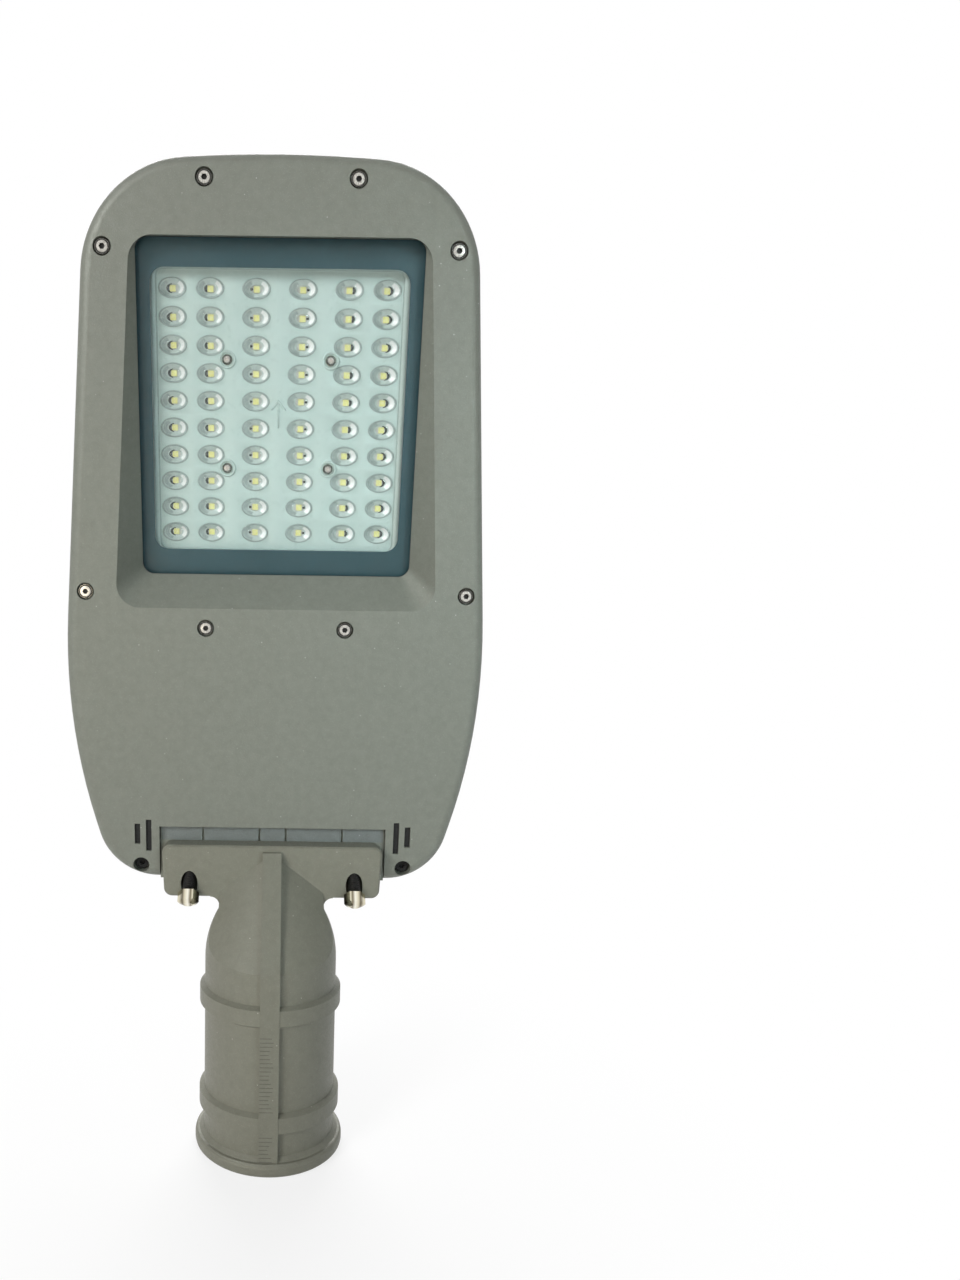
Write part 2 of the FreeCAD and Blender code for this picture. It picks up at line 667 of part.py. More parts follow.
def make_cover_gasket():
    outer = inner_region(RIM_WALL - SEAL_WIDTH, RIM_Y, RIM_Y + SEAL_DEPTH)
    return outer.cut(inner_region(RIM_WALL, RIM_Y - OVER, RIM_Y + SEAL_DEPTH + OVER))


def back_surface_points():
    """Three points of the curved back, as (depth, z)."""
    return V(0, BACK_HEAD_DEPTH, BACK_HEAD_Z), V(0, BACK_MID_DEPTH, BACK_MID_Z), V(0, BACK_TAIL_DEPTH, 0)


def back_arc_depth(z):
    """Depth of the curved back at a distance from the tail."""
    a, b, c = back_surface_points()
    circle = Part.Circle(a, b, c)
    reach = math.sqrt(circle.Radius ** 2 - (z - circle.Center.z) ** 2)
    return circle.Center.y + reach


def leaning_sides(inset):
    """The head's plan drawn in by inset at the rim, and further towards the back by the draft of the casting."""
    lean = (BACK_DRAFT_TOP - RIM_Y) * math.tan(math.radians(BACK_DRAFT))
    return Part.makeLoft([head_outline(inset, RIM_Y), head_outline(inset + lean, BACK_DRAFT_TOP)], True, True)


def make_housing_blank():
    """Outline prism under the curved back, with its back edge rounded more at the sides than at the head."""
    low, high = -BACK_OVERRUN, HEAD_LENGTH + BACK_OVERRUN
    tail, head = V(0, back_arc_depth(low), low), V(0, back_arc_depth(high), high)
    middle = V(0, back_arc_depth(BACK_MID_Z), BACK_MID_Z)
    rim_tail, rim_head = V(0, RIM_Y, low), V(0, RIM_Y, high)
    profile = Part.Wire([Part.Arc(tail, middle, head).toShape(), Part.LineSegment(head, rim_head).toShape(),
                         Part.LineSegment(rim_head, rim_tail).toShape(), Part.LineSegment(rim_tail, tail).toShape()])
    under_back = Part.Face(profile)
    under_back.translate(V(-FAR, 0, 0))
    blank = leaning_sides(0).common(under_back.extrude(V(2 * FAR, 0, 0)))
    return round_back_edge(blank)


def back_edge_radius(point):
    """Radius of the back edge: small at the head, larger along the sides, middling at the tail."""
    if point.z > WIDEST_Z:
        share = (point.z - WIDEST_Z) / (HEAD_LENGTH - HEAD_CORNER - WIDEST_Z)
        share = min(1.0, max(0.0, share))
        return BACK_EDGE_SIDE + share * (BACK_EDGE_HEAD - BACK_EDGE_SIDE)
    share = min(1.0, max(0.0, point.z / WIDEST_Z))
    return BACK_EDGE_TAIL + share * (BACK_EDGE_SIDE - BACK_EDGE_TAIL)


def round_back_edge(blank):
    document = FreeCAD.newDocument("rounding")
    base = document.addObject("Part::Feature", "blank")
    base.Shape = blank
    fillet = document.addObject("Part::Fillet", "rounded")
    fillet.Base = base
    back_face = max(blank.Faces, key=lambda face: face.CenterOfMass.y)
    radii = []
    for number, edge in enumerate(blank.Edges, 1):
        if any(edge.isSame(other) for other in back_face.Edges):
            first, last = edge.Vertexes[0].Point, edge.Vertexes[-1].Point
            radii.append((number, back_edge_radius(first), back_edge_radius(last)))
    fillet.Edges = radii
    document.recompute()
    rounded = fillet.Shape.copy()
    FreeCAD.closeDocument(document.Name)
    return rounded


def floor_depth(z):
    """Depth, in the head's frame, of the finned floor."""
    return GLASS_DEPTH + FLOOR / math.cos(math.radians(LED_LEAN)) + (WINDOW_Z - z) * LED_TILT


def plateau_depth(z):
    return GLASS_DEPTH + PLATEAU / math.cos(math.radians(LED_LEAN)) + (WINDOW_Z - z) * LED_TILT


def recess_wire(height):
    """Outline of the finned recess at a height over its floor, in the window's frame."""
    side = height * math.tan(math.radians(RECESS_SIDE_DRAFT))
    end = height * math.tan(math.radians(RECESS_END_DRAFT))
    head = HEAD_LENGTH - WINDOW_Z + RECESS_OVERRUN
    tail = (FLOOR_TAIL_Z - WINDOW_Z) / math.cos(math.radians(LED_LEAN)) - end
    points = [(FLOOR_HEAD_HALF + side, head), (-FLOOR_HEAD_HALF - side, head),
              (-FLOOR_TAIL_HALF - side, tail), (FLOOR_TAIL_HALF + side, tail)]
    corner = FLOOR_CORNER + side
    return rounded_wire(points, [RECESS_HEAD_CORNER, RECESS_HEAD_CORNER, corner, corner], FLOOR + height)


def make_recess():
    return in_window(Part.makeLoft([recess_wire(0), recess_wire(RECESS_HEIGHT)], True, True))


def fin_ring(half, head, tail):
    """Plan of a fin: square at the head end, corners cut at the tail."""
    cut = half * FIN_END_ROUND
    return [(-half, head), (half, head), (half, tail + cut), (half - cut, tail), (cut - half, tail), (-half, tail + cut)]


def make_fin(centre, thickness):
    """Wedge-shaped fin on the floor, taller towards the tail."""
    head, tail = FIN_HEAD_Z - WINDOW_Z, FIN_TAIL_Z - WINDOW_Z
    half, top_half = thickness / 2, thickness / 2 - FIN_TAPER
    root = FLOOR - FIN_ROOT
    nose = head - FIN_NOSE
    lower = [V(centre + x, root, z) for x, z in fin_ring(half, head, tail)]
    head_top, tail_top = FLOOR + FIN_HEAD_HEIGHT, FLOOR + FIN_TAIL_HEIGHT
    rise = (tail_top - head_top) / (nose - tail)
    upper = [V(centre + x, head_top + (nose - z) * rise, z) for x, z in fin_ring(top_half, nose, tail)]
    return Part.makeLoft([Part.makePolygon(ring + ring[:1]) for ring in (lower, upper)], True, True)


def make_cable_boss():
    """Raised channel between the compartment and the LED floor."""
    end_floor, tail_floor = floor_depth(BOSS_END_Z) - BOSS_ROOT, floor_depth(BOSS_TAIL_Z) - BOSS_ROOT
    tail_depth = back_arc_depth(BOSS_TAIL_Z) - BOSS_SINK
    lower = [V(s * BOSS_HALF, y, z) for s, y, z in ((-1, end_floor, BOSS_END_Z), (1, end_floor, BOSS_END_Z),
                                                   (1, tail_floor, BOSS_TAIL_Z), (-1, tail_floor, BOSS_TAIL_Z))]
    top_half = BOSS_HALF - BOSS_TAPER
    top_end = BOSS_END_Z - BOSS_DRAFT
    upper = [V(s * top_half, y, z) for s, y, z in ((-1, BOSS_END_DEPTH, top_end), (1, BOSS_END_DEPTH, top_end),
                                                   (1, tail_depth, BOSS_TAIL_Z), (-1, tail_depth, BOSS_TAIL_Z))]
    boss = Part.makeLoft([Part.makePolygon(ring + ring[:1]) for ring in (lower, upper)], True, True)
    top_face = max(boss.Faces, key=lambda face: face.CenterOfMass.y)
    eased = [edge for edge in top_face.Edges if edge.CenterOfMass.z > BOSS_TAIL_Z + OVER]
    return boss.makeChamfer(BOSS_EDGE, eased)


def make_round_pad():
    """Flat round pad on the compartment's back, square to the surface under it."""
    slope = (back_arc_depth(PAD_Z + OVER) - back_arc_depth(PAD_Z - OVER)) / (2 * OVER)
    normal = V(0, 1, -slope).normalize()
    crown = V(0, back_arc_depth(PAD_Z), PAD_Z)
    pad = Part.makeCylinder(PAD_RADIUS, PAD_ROOT + PAD_PROUD, crown - normal * PAD_ROOT, normal)
    rim = max(pad.Edges, key=lambda edge: edge.CenterOfMass.y)
    return pad.makeChamfer(PAD_EDGE, [rim])


def seat_block():
    """Seat for the adapter's flange: it stands up from the rim into the cover's cut-out."""
    half, top = CUTOUT_HALF - SEAT_GAP, CUTOUT_TOP - SEAT_GAP
    body = block(-half, half, -FAR, RIM_Y + SEAT_ROOT, 0, top)
    seat_y = FLANGE_FRONT + FLANGE_THICKNESS
    before_seat = moved(block(-FAR, FAR, seat_y - 2 * FAR, seat_y, -FAR, FAR), head_place.inverse())
    body = body.cut(before_seat)
    grooves = []
    for x in SEAT_GROOVES:
        groove = block(x - SEAT_GROOVE_WIDTH / 2, x + SEAT_GROOVE_WIDTH / 2, seat_y - OVER, seat_y + SEAT_GROOVE_DEPTH,
                       -FAR, FAR)
        grooves += both_sides([groove])
    return body.cut([moved(groove, head_place.inverse()) for groove in grooves])


def compartment():
    """Room inside the housing: driver compartment, slope and LED chamber down to the plateau."""
    head = HEAD_LENGTH - RIM_WALL
    points = [(RIM_Y - OVER, RIM_WALL), (COMPARTMENT_DEPTH, RIM_WALL), (COMPARTMENT_DEPTH, COMPARTMENT_HEAD_Z),
              (plateau_depth(COMPARTMENT_SLOPE_Z), COMPARTMENT_SLOPE_Z), (plateau_depth(head + OVER), head + OVER),
              (min(RIM_Y, plateau_depth(head + OVER)) - OVER, head + OVER)]
    room = side_prism(points, FAR).common(inner_region(RIM_WALL, RIM_Y - OVER, FAR))
    below_rim = block(-FAR, FAR, -FAR, RIM_Y, -FAR, FAR)
    return room.common(leaning_sides(RIM_WALL).fuse(below_rim))


def cable_hole_start():
    """Where the cable hole leaves the seat, in the part's frame."""
    return V(0, FLANGE_FRONT + FLANGE_THICKNESS, TAIL_Z + CABLE_HOLE_Z)


CABLE_WAY = V(0, math.cos(math.radians(CABLE_HOLE_TILT)), math.sin(math.radians(CABLE_HOLE_TILT)))
BOLT_OUT = V(0, -math.cos(math.radians(BOLT_SLANT)), -math.sin(math.radians(BOLT_SLANT)))


def bolt_faces():
    """Where each bolt's axis meets the flange's face."""
    return [V(side * BOLT_X, FLANGE_FRONT, BOLT_Z) for side in (-1, 1)]


def bolt_shank_length():
    """From under the head to the shank's end, past the seat by the bite."""
    through = FLANGE_THICKNESS / math.cos(math.radians(BOLT_SLANT))
    return BOLT_STAND_OFF + through + BOLT_BITE


def make_housing():
    body = make_housing_blank()
    body = body.cut(make_recess())
    fins = [make_fin(side * share * FLOOR_HEAD_HALF, thickness)
            for share, thickness in zip(FIN_SHARES, FIN_THICKNESS) for side in (-1, 1)]
    fins = [in_window(fin) for fin in fins]
    body = body.fuse(fins + [make_cable_boss(), make_round_pad(), seat_block()])
    room = compartment()
    channel = block(-CHANNEL_HALF, CHANNEL_HALF, RIM_Y, CHANNEL_DEPTH, COMPARTMENT_HEAD_Z - CHANNEL_LAP,
                    CHANNEL_HEAD_Z)
    seal = inner_region(RIM_WALL - SEAL_WIDTH, RIM_Y, RIM_Y + SEAL_DEPTH)
    body = body.cut([room, channel, seal])
    bar_bosses = [rod(BAR_BOSS, V(place.x, RIM_Y, place.z), INWARD, BAR_BOSS_END - RIM_Y)
                  for place in screw_places()[-2:]]
    body = body.fuse(bar_bosses).removeSplitter()
    cuts = [rod(SCREW_DIAMETER, place + INWARD * RIM_Y, INWARD, SCREW_BITE) for place in screw_places() + tail_places()]
    cuts += [in_window(hole) for hole in lens_screw_holes()]
    cuts += driver_screw_holes() + terminal_screw_holes()
    back = head_place.inverse()
    cable_start = cable_hole_start() - CABLE_WAY * CABLE_HOLE_OUT
    cuts.append(moved(rod(CABLE_HOLE, cable_start, CABLE_WAY, CABLE_HOLE_LENGTH), back))
    for face in bolt_faces():
        start = face + BOLT_OUT * BOLT_STAND_OFF
        cuts.append(moved(rod(BOLT_DIAMETER, start, BOLT_OUT * -1, bolt_shank_length()), back))
    return body.cut(cuts)


def make_cover_screws():
    length = RIM_Y - COUNTERBORE_DEPTH + SCREW_BITE
    screws = [socket_screw(place + INWARD * COUNTERBORE_DEPTH, INWARD, SCREW_DIAMETER, length, SCREW_HEAD,
                           SCREW_HEAD_HEIGHT, SCREW_SOCKET, SCREW_SOCKET_DEPTH) for place in screw_places()]
    return Part.makeCompound(screws)


def make_tail_screws():
    length = RIM_Y - TAIL_COUNTERBORE_DEPTH + SCREW_BITE
    screws = [socket_screw(place + INWARD * TAIL_COUNTERBORE_DEPTH, INWARD, SCREW_DIAMETER, length, SCREW_HEAD,
                           SCREW_HEAD_HEIGHT, SCREW_SOCKET, SCREW_SOCKET_DEPTH) for place in tail_places()]
    return Part.makeCompound(screws)


def driver_screw_places():
    x = DRIVER_HALF + DRIVER_EAR / 2
    return [V(side * x, COMPARTMENT_DEPTH - DRIVER_EAR_THICKNESS, z) for side in (-1, 1)
            for z in (DRIVER_Z + DRIVER_SCREW_INSET, DRIVER_Z + DRIVER_HEIGHT - DRIVER_SCREW_INSET)]


def driver_screw_holes():
    return [rod(SMALL_SCREW_DIAMETER, place, INWARD, DRIVER_EAR_THICKNESS + SMALL_SCREW_BITE)
            for place in driver_screw_places()]


def make_led_driver():
    half = DRIVER_HALF
    case = block(-half, half, COMPARTMENT_DEPTH - DRIVER_DEPTH, COMPARTMENT_DEPTH, DRIVER_Z, DRIVER_Z + DRIVER_HEIGHT)
    case = case.makeFillet(DRIVER_EDGE, [edge for edge in case.Edges if edge.BoundBox.XLength > half])
    ears = block(-half - DRIVER_EAR, half + DRIVER_EAR, COMPARTMENT_DEPTH - DRIVER_EAR_THICKNESS, COMPARTMENT_DEPTH,
                 DRIVER_Z + DRIVER_EDGE, DRIVER_Z + DRIVER_HEIGHT - DRIVER_EDGE)
    return case.fuse(ears).removeSplitter().cut(driver_screw_holes())


def make_driver_screws():
    screws = [pan_screw(place, INWARD, SMALL_SCREW_DIAMETER, DRIVER_EAR_THICKNESS + SMALL_SCREW_BITE,
                        SMALL_SCREW_HEAD, SMALL_SCREW_HEAD_HEIGHT) for place in driver_screw_places()]
    return Part.makeCompound(screws)


def terminal_screw_places():
    reach = TERMINAL[0] / 2 - TERMINAL_WAY / 2
    return [V(TERMINAL_X + side * reach, COMPARTMENT_DEPTH - TERMINAL[1] / 2, INSIDE_ROW_Z + TERMINAL[2] / 2)
            for side in (-1, 1)]


def terminal_screw_holes():
    return [rod(CLIP_SCREW_DIAMETER, place, INWARD, TERMINAL[1] / 2 + SMALL_SCREW_BITE)
            for place in terminal_screw_places()]


def make_terminal_block():
    half = TERMINAL[0] / 2
    front = COMPARTMENT_DEPTH - TERMINAL[1]
    body = block(TERMINAL_X - half, TERMINAL_X + half, front, COMPARTMENT_DEPTH, INSIDE_ROW_Z, INSIDE_ROW_Z + TERMINAL[2])
    cuts = terminal_screw_holes()
    for place in terminal_screw_places():
        cuts.append(block(place.x - TERMINAL_WAY / 2, place.x + TERMINAL_WAY / 2, front - OVER, place.y,
                          INSIDE_ROW_Z - OVER, INSIDE_ROW_Z + TERMINAL[2] + OVER))
    for x in (TERMINAL_X - TERMINAL_ENTRY_X, TERMINAL_X + TERMINAL_ENTRY_X):
        cuts.append(rod(TERMINAL_ENTRY, V(x, front + TERMINAL_ENTRY_DEPTH, INSIDE_ROW_Z - OVER), V(0, 0, 1),
                        TERMINAL[2] + 2 * OVER))
    return body.cut(cuts)


def make_terminal_screws():
    length = TERMINAL[1] / 2 + SMALL_SCREW_BITE
    screws = [pan_screw(place, INWARD, CLIP_SCREW_DIAMETER, length, CLIP_SCREW_HEAD, CLIP_SCREW_HEAD_HEIGHT)
              for place in terminal_screw_places()]
    return Part.makeCompound(screws)


def make_surge_protector():
    half = SURGE[0] / 2
    body = block(SURGE_X - half, SURGE_X + half, COMPARTMENT_DEPTH - SURGE[1], COMPARTMENT_DEPTH,
                 INSIDE_ROW_Z, INSIDE_ROW_Z + SURGE[2])
    return body.makeFillet(SURGE_EDGE, [edge for edge in body.Edges if edge.BoundBox.YLength > SURGE[1] / 2])


def make_led_lead():
    """Round lead: out of the driver, along the cable boss, and round a bend to the board."""
    end = window_place.multVec(V(0, BOARD_FRONT, LEAD_BOARD_Z))
    inward = window_place.Rotation.multVec(INWARD)
    start = V(0, LEAD_RUN_DEPTH, DRIVER_Z + DRIVER_HEIGHT)
    along = V(0, 0, 1)
    reach = (LEAD_RUN_DEPTH - end.y) / inward.y
    corner = end + inward * reach
    turn = along.getAngle(inward * -1)
    tangent = LEAD_BEND * math.tan(turn / 2)
    into, out = corner - along * tangent, corner - inward * tangent
    middle_way = ((into - corner).normalize() + (out - corner).normalize()).normalize()
    middle = corner + middle_way * (LEAD_BEND / math.cos(turn / 2) - LEAD_BEND)
    path = Part.Wire([Part.LineSegment(start, into).toShape(), Part.Arc(into, middle, out).toShape(),
                      Part.LineSegment(out, end).toShape()])
    section = Part.Wire(Part.makeCircle(LEAD_DIAMETER / 2, start, along))
    return path.makePipeShell([section], True, False)


def make_cable_grommet():
    """Rubber sleeve in the slanted cable hole."""
    start = cable_hole_start() + CABLE_WAY * (CABLE_HOLE / 2)
    sleeve = rod(CABLE_HOLE, start, CABLE_WAY, GROMMET_LENGTH)
    return sleeve.cut(rod(GROMMET_BORE, start - CABLE_WAY, CABLE_WAY, GROMMET_LENGTH + 2 * OVER))


def revolve(points_and_arcs):
    """Solid of revolution about Z from (radius, z) points; a triple of points is an arc."""
    edges = []
    last = None
    first = None
    for item in points_and_arcs:
        if isinstance(item[0], tuple):
            start, middle, end = [V(r, 0, z) for r, z in item]
            if last is not None and last.distanceToPoint(start) > 1e-6:
                edges.append(Part.LineSegment(last, start).toShape())
            edges.append(Part.Arc(start, middle, end).toShape())
            first = first or start
            last = end
        else:
            point = V(item[0], 0, item[1])
            if last is not None:
                edges.append(Part.LineSegment(last, point).toShape())
            first = first or point
            last = point
    edges.append(Part.LineSegment(last, first).toShape())
    return Part.Face(Part.Wire(edges)).revolve(V(0, 0, 0), V(0, 0, 1), 360)


def ring_profile(z):
    low, high = z - RING_WIDTH / 2, z + RING_WIDTH / 2
    return [(TUBE_RADIUS, low), (RIB_RADIUS, low + RING_CHAMFER), (RIB_RADIUS, high - RING_CHAMFER), (TUBE_RADIUS, high)]


def rim_bead():
    """Profile of the mouth's rounded rim, in short steps, from the mouth's face up to the tube."""
    bead = []
    for step in range(RIM_STEPS + 1):
        angle = math.pi / 2 * step / RIM_STEPS
        bead.append((RIM_RADIUS - RIM_ROUND * (1 - math.sin(angle)), RIM_ROUND * (1 - math.cos(angle))))
    upper = [(r, RIM_HEIGHT - z) for r, z in reversed(bead)]
    return bead + upper + [(TUBE_RADIUS, RIM_HEIGHT + RIM_BLEND)]


def adapter_outside():
    """Tube with its rim and rings, drawn in at the top to the hood's neck."""
    profile = [(0, 0)] + rim_bead()
    for z in RINGS_Z:
        profile += ring_profile(z)
    profile += [((TUBE_RADIUS, BORE_LENGTH), HOOD_MID, HOOD_NECK), (HOOD_NECK[0], HOOD_APEX_Z), (0, HOOD_APEX_Z)]
    return revolve(profile)


def hood_roof():
    """Space under the hood's roof: straight lines from an arc round the tube's front to a gable on the flange."""
    back = FLANGE_FRONT + OVER
    half = TUBE_RADIUS + HOOD_ROOF_SIDE
    front = -TUBE_RADIUS - HOOD_ROOF_OUT
    left, middle, right = V(-half, back, HOOD_ROOF_Z), V(0, front, HOOD_ROOF_Z), V(half, back, HOOD_ROOF_Z)
    whole = Part.Arc(left, middle, right)
    first, last = whole.FirstParameter, whole.LastParameter
    centre = (first + last) / 2
    foot = Part.Wire([whole.toShape(first, centre), whole.toShape(centre, last), Part.LineSegment(right, left).toShape()])
    eaves = HOOD_APEX_Z - HOOD_SIDE_FALL * half
    gable = Part.makePolygon([V(-half, back, eaves), V(0, back, HOOD_APEX_Z), V(half, back, eaves), V(-half, back, eaves)])
    return Part.makeLoft([foot, gable], True, True)


def over_roof(roof, low):
    """What lies in front of the flange and over a roof."""
    space = block(-2 * TUBE_RADIUS, 2 * TUBE_RADIUS, -2 * TUBE_RADIUS, FLANGE_FRONT + OVER / 2, low, 2 * HOOD_APEX_Z)
    return space.cut(roof)


def hood_fillet():
    """Hollow corner between the hood's side and the flange's lower edge."""
    inner, outer = HOOD_NECK[0] - HOOD_WALL, HOOD_NECK[0] + HOOD_FILLET
    low = FLANGE_BOTTOM - HOOD_FILLET
    turn = HOOD_FILLET * math.sqrt(0.5)
    arc = Part.Arc(V(HOOD_NECK[0], 0, low), V(outer - turn, 0, low + turn), V(outer, 0, FLANGE_BOTTOM)).toShape()
    rest = Part.makePolygon([V(outer, 0, FLANGE_BOTTOM), V(outer, 0, FLANGE_BOTTOM + OVER),
                             V(inner, 0, FLANGE_BOTTOM + OVER), V(inner, 0, low), V(HOOD_NECK[0], 0, low)])
    wire = Part.Wire([arc] + rest.Edges)
    return prism(wire, FLANGE_FRONT, FLANGE_FRONT + FLANGE_THICKNESS)


def adapter_inside():
    """Bore for the pole, closed above by a hollow that follows the hood."""
    neck = (HOOD_NECK[0] - HOOD_WALL, HOOD_NECK[1])
    mid = (HOOD_MID[0] - HOOD_WALL, HOOD_MID[1])
    hollow = revolve([(0, 0), (BORE_RADIUS, 0), (BORE_RADIUS, BORE_LENGTH), mid, neck, (0, HOOD_APEX_Z)])
    lining = moved(hood_roof(), FreeCAD.Placement(V(0, HOOD_LINING_BACK, -HOOD_LINING_DOWN), FreeCAD.Rotation()))
    hollow = hollow.cut(over_roof(lining, HOOD_ROOF_Z - HOOD_LINING_DOWN))
    hollow = hollow.cut(block(-FAR, FAR, FLANGE_FRONT, FAR, FLANGE_BOTTOM, FAR))
    return hollow.fuse(Part.makeCylinder(BORE_RADIUS, BORE_LENGTH + OVER, V(0, 0, -OVER)))


def front_rib():
    """Rib down the front, from the mouth's rim up the tube and over the hood's ridge to the flange."""
    back = -TUBE_RADIUS / 2
    rise, run = HOOD_APEX_Z - HOOD_ROOF_Z, FLANGE_FRONT + OVER + TUBE_RADIUS + HOOD_ROOF_OUT
    proud = RIB_PROUD * math.hypot(rise, run) / run
    bend = HOOD_ROOF_Z + proud - (RIB_PROUD - HOOD_ROOF_OUT) * rise / run
    peak = FLANGE_FRONT + OVER - proud * run / rise
    points = [(-RIB_RADIUS, RIM_HEIGHT), (-RIB_RADIUS, bend), (peak, HOOD_APEX_Z), (FLANGE_FRONT + OVER, HOOD_APEX_Z),
              (FLANGE_FRONT + OVER, FLANGE_BOTTOM + FLANGE_POCKET_EDGE), (back, BORE_LENGTH), (back, RIM_HEIGHT)]
    return side_prism(points, RIB_HALF)


def make_flange():
    """Plate that bolts to the housing's seat, a little narrower at its foot."""
    top, foot_half = FLANGE_BOTTOM + FLANGE_HEIGHT, FLANGE_HALF - FLANGE_DRAFT
    points = [(FLANGE_HALF, top), (-FLANGE_HALF, top), (-foot_half, FLANGE_BOTTOM), (foot_half, FLANGE_BOTTOM)]
    plate = prism(rounded_wire(points, [FLANGE_CORNER] * 4), FLANGE_FRONT, FLANGE_FRONT + FLANGE_THICKNESS)
    front_edges = [edge for edge in plate.Edges if edge.BoundBox.YMax < FLANGE_FRONT + FLANGE_EDGE / 2]
    return plate.makeChamfer(FLANGE_EDGE, front_edges)


def make_pole_adapter():
    seat = FLANGE_FRONT + FLANGE_THICKNESS
    behind = block(-FAR, FAR, seat - SEAT_GAP, FAR, HOOD_BACK_TOP, FAR)
    tube = adapter_outside().cut([over_roof(hood_roof(), HOOD_ROOF_Z), behind])
    back_rib = block(-RIB_HALF, RIB_HALF, TUBE_RADIUS / 2, RIB_RADIUS, RIM_HEIGHT, BORE_LENGTH)
    bosses = [rod(CLAMP_BOSS, V(0, TUBE_RADIUS / 2, z), INWARD, CLAMP_BOSS_REACH - TUBE_RADIUS / 2) for z in RINGS_Z]
    body = tube.fuse([make_flange(), front_rib(), back_rib] + bosses + both_sides([hood_fillet()]))
    pocket_top = FLANGE_BOTTOM + FLANGE_HEIGHT - FLANGE_POCKET_EDGE
    pocket = block(-FLANGE_POCKET_HALF, FLANGE_POCKET_HALF, seat - FLANGE_POCKET_DEPTH, seat + OVER,
                   HOOD_BACK_TOP + FLANGE_POCKET_EDGE, pocket_top)
    cable_start = cable_hole_start() - CABLE_WAY * CABLE_HOLE_BACK
    cuts = [adapter_inside(), pocket, rod(CABLE_HOLE, cable_start, CABLE_WAY, CABLE_HOLE_BACK + OVER)]
    for z in RINGS_Z:
        cuts.append(rod(CLAMP_DIAMETER, V(0, 0, z), INWARD, CLAMP_BOSS_REACH + OVER))
    for face in bolt_faces():
        cuts.append(rod(BOLT_HOLE, face + BOLT_OUT * BOLT_HOLE_OUT, BOLT_OUT * -1, BOLT_HOLE_LENGTH))
    return body.cut(cuts).removeSplitter()


def make_flange_bolts():
    bolts = []
    for face in bolt_faces():
        seat = face + BOLT_OUT * BOLT_STAND_OFF
        head = hex_prism(BOLT_ACROSS_FLATS, seat, BOLT_OUT, BOLT_HEAD_HEIGHT)
        corner = BOLT_ACROSS_FLATS / math.sqrt(3)
        barrel = rod(2 * corner, seat, BOLT_OUT, BOLT_HEAD_HEIGHT - BOLT_HEAD_CHAMFER)
        tip = Part.makeCone(corner, corner - 2 * BOLT_HEAD_CHAMFER, BOLT_HEAD_CHAMFER,
                            seat + BOLT_OUT * (BOLT_HEAD_HEIGHT - BOLT_HEAD_CHAMFER), BOLT_OUT)
        head = head.common(barrel.fuse(tip))
        shank = rod(BOLT_DIAMETER, seat, BOLT_OUT * -1, bolt_shank_length())
        bolts.append(head.fuse(shank).removeSplitter())
    return Part.makeCompound(bolts)


def make_clamp_screws():
    length = CLAMP_BOSS_REACH - BORE_RADIUS - CLAMP_STOP
    screws = [socket_screw(V(0, CLAMP_BOSS_REACH, z), INWARD * -1, CLAMP_DIAMETER, length, CLAMP_HEAD,
                           CLAMP_HEAD_HEIGHT, CLAMP_SOCKET, CLAMP_SOCKET_DEPTH) for z in RINGS_Z]
    return Part.makeCompound(screws)


# Pieces drawn in the head's frame, then pieces drawn in the part's frame
head_pieces = {
    "housing": make_housing,
    "front_cover": make_front_cover,
    "cover_gasket": make_cover_gasket,
    "cover_screws": make_cover_screws,
    "tail_screws": make_tail_screws,
    "window_glass": make_glass,
    "glass_gasket": make_glass_gasket,
    "glass_clips": make_glass_clips,
    "clip_screws": make_clip_screws,
    "lens_plate": make_lens_plate,
    "lens_screws": make_lens_screws,
    "led_chips": make_led_chips,
    "led_board": make_led_board,
    "thermal_pad": make_thermal_pad,
    "led_driver": make_led_driver,
    "driver_screws": make_driver_screws,
    "terminal_block": make_terminal_block,
    "terminal_screws": make_terminal_screws,
    "surge_protector": make_surge_protector,
    "led_lead": make_led_lead,
}
part_pieces = {
    "cable_grommet": make_cable_grommet,
    "pole_adapter": make_pole_adapter,
    "flange_bolts": make_flange_bolts,
    "clamp_screws": make_clamp_screws,
}

os.makedirs("parts", exist_ok=True)
for node, make in head_pieces.items():
    moved(make(), head_place).exportStep(f"parts/{node}.step")
for node, make in part_pieces.items():
    make().exportStep(f"parts/{node}.step")
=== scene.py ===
"""Looks of the LED street light: materials, printed glass border, lenses, small details, lamps and camera."""
import bpy
import math
from mathutils import Matrix, Vector


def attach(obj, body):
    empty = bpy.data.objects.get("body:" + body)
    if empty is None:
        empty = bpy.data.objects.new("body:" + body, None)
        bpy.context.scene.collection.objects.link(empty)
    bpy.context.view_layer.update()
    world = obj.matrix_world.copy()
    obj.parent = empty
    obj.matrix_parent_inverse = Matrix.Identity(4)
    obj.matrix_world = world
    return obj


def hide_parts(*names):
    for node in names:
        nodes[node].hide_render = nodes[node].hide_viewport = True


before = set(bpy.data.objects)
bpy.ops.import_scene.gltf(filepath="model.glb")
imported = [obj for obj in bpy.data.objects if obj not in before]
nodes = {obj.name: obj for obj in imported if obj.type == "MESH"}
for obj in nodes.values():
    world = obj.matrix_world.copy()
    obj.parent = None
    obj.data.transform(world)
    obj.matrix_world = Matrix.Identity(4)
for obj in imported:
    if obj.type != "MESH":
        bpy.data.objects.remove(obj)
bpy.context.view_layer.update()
MM = 0.001

# Places in millimetres and tilts in degrees: the head on the lamp, and the window on the head
HEAD_PLACE = (0.0, 15.8, 141.5)
HEAD_TILT = 5.5
WINDOW_PLACE = (0.0, 11.2, 249.0)
WINDOW_TILT = 4.5

# Noise: places of the dark and the light tint on it; scales are in waves a metre, bump depths in metres
NOISE_RANGE = (0.3, 0.7)
MOTTLE_DETAIL = 4.0
FINE_GRAIN = 0.0002

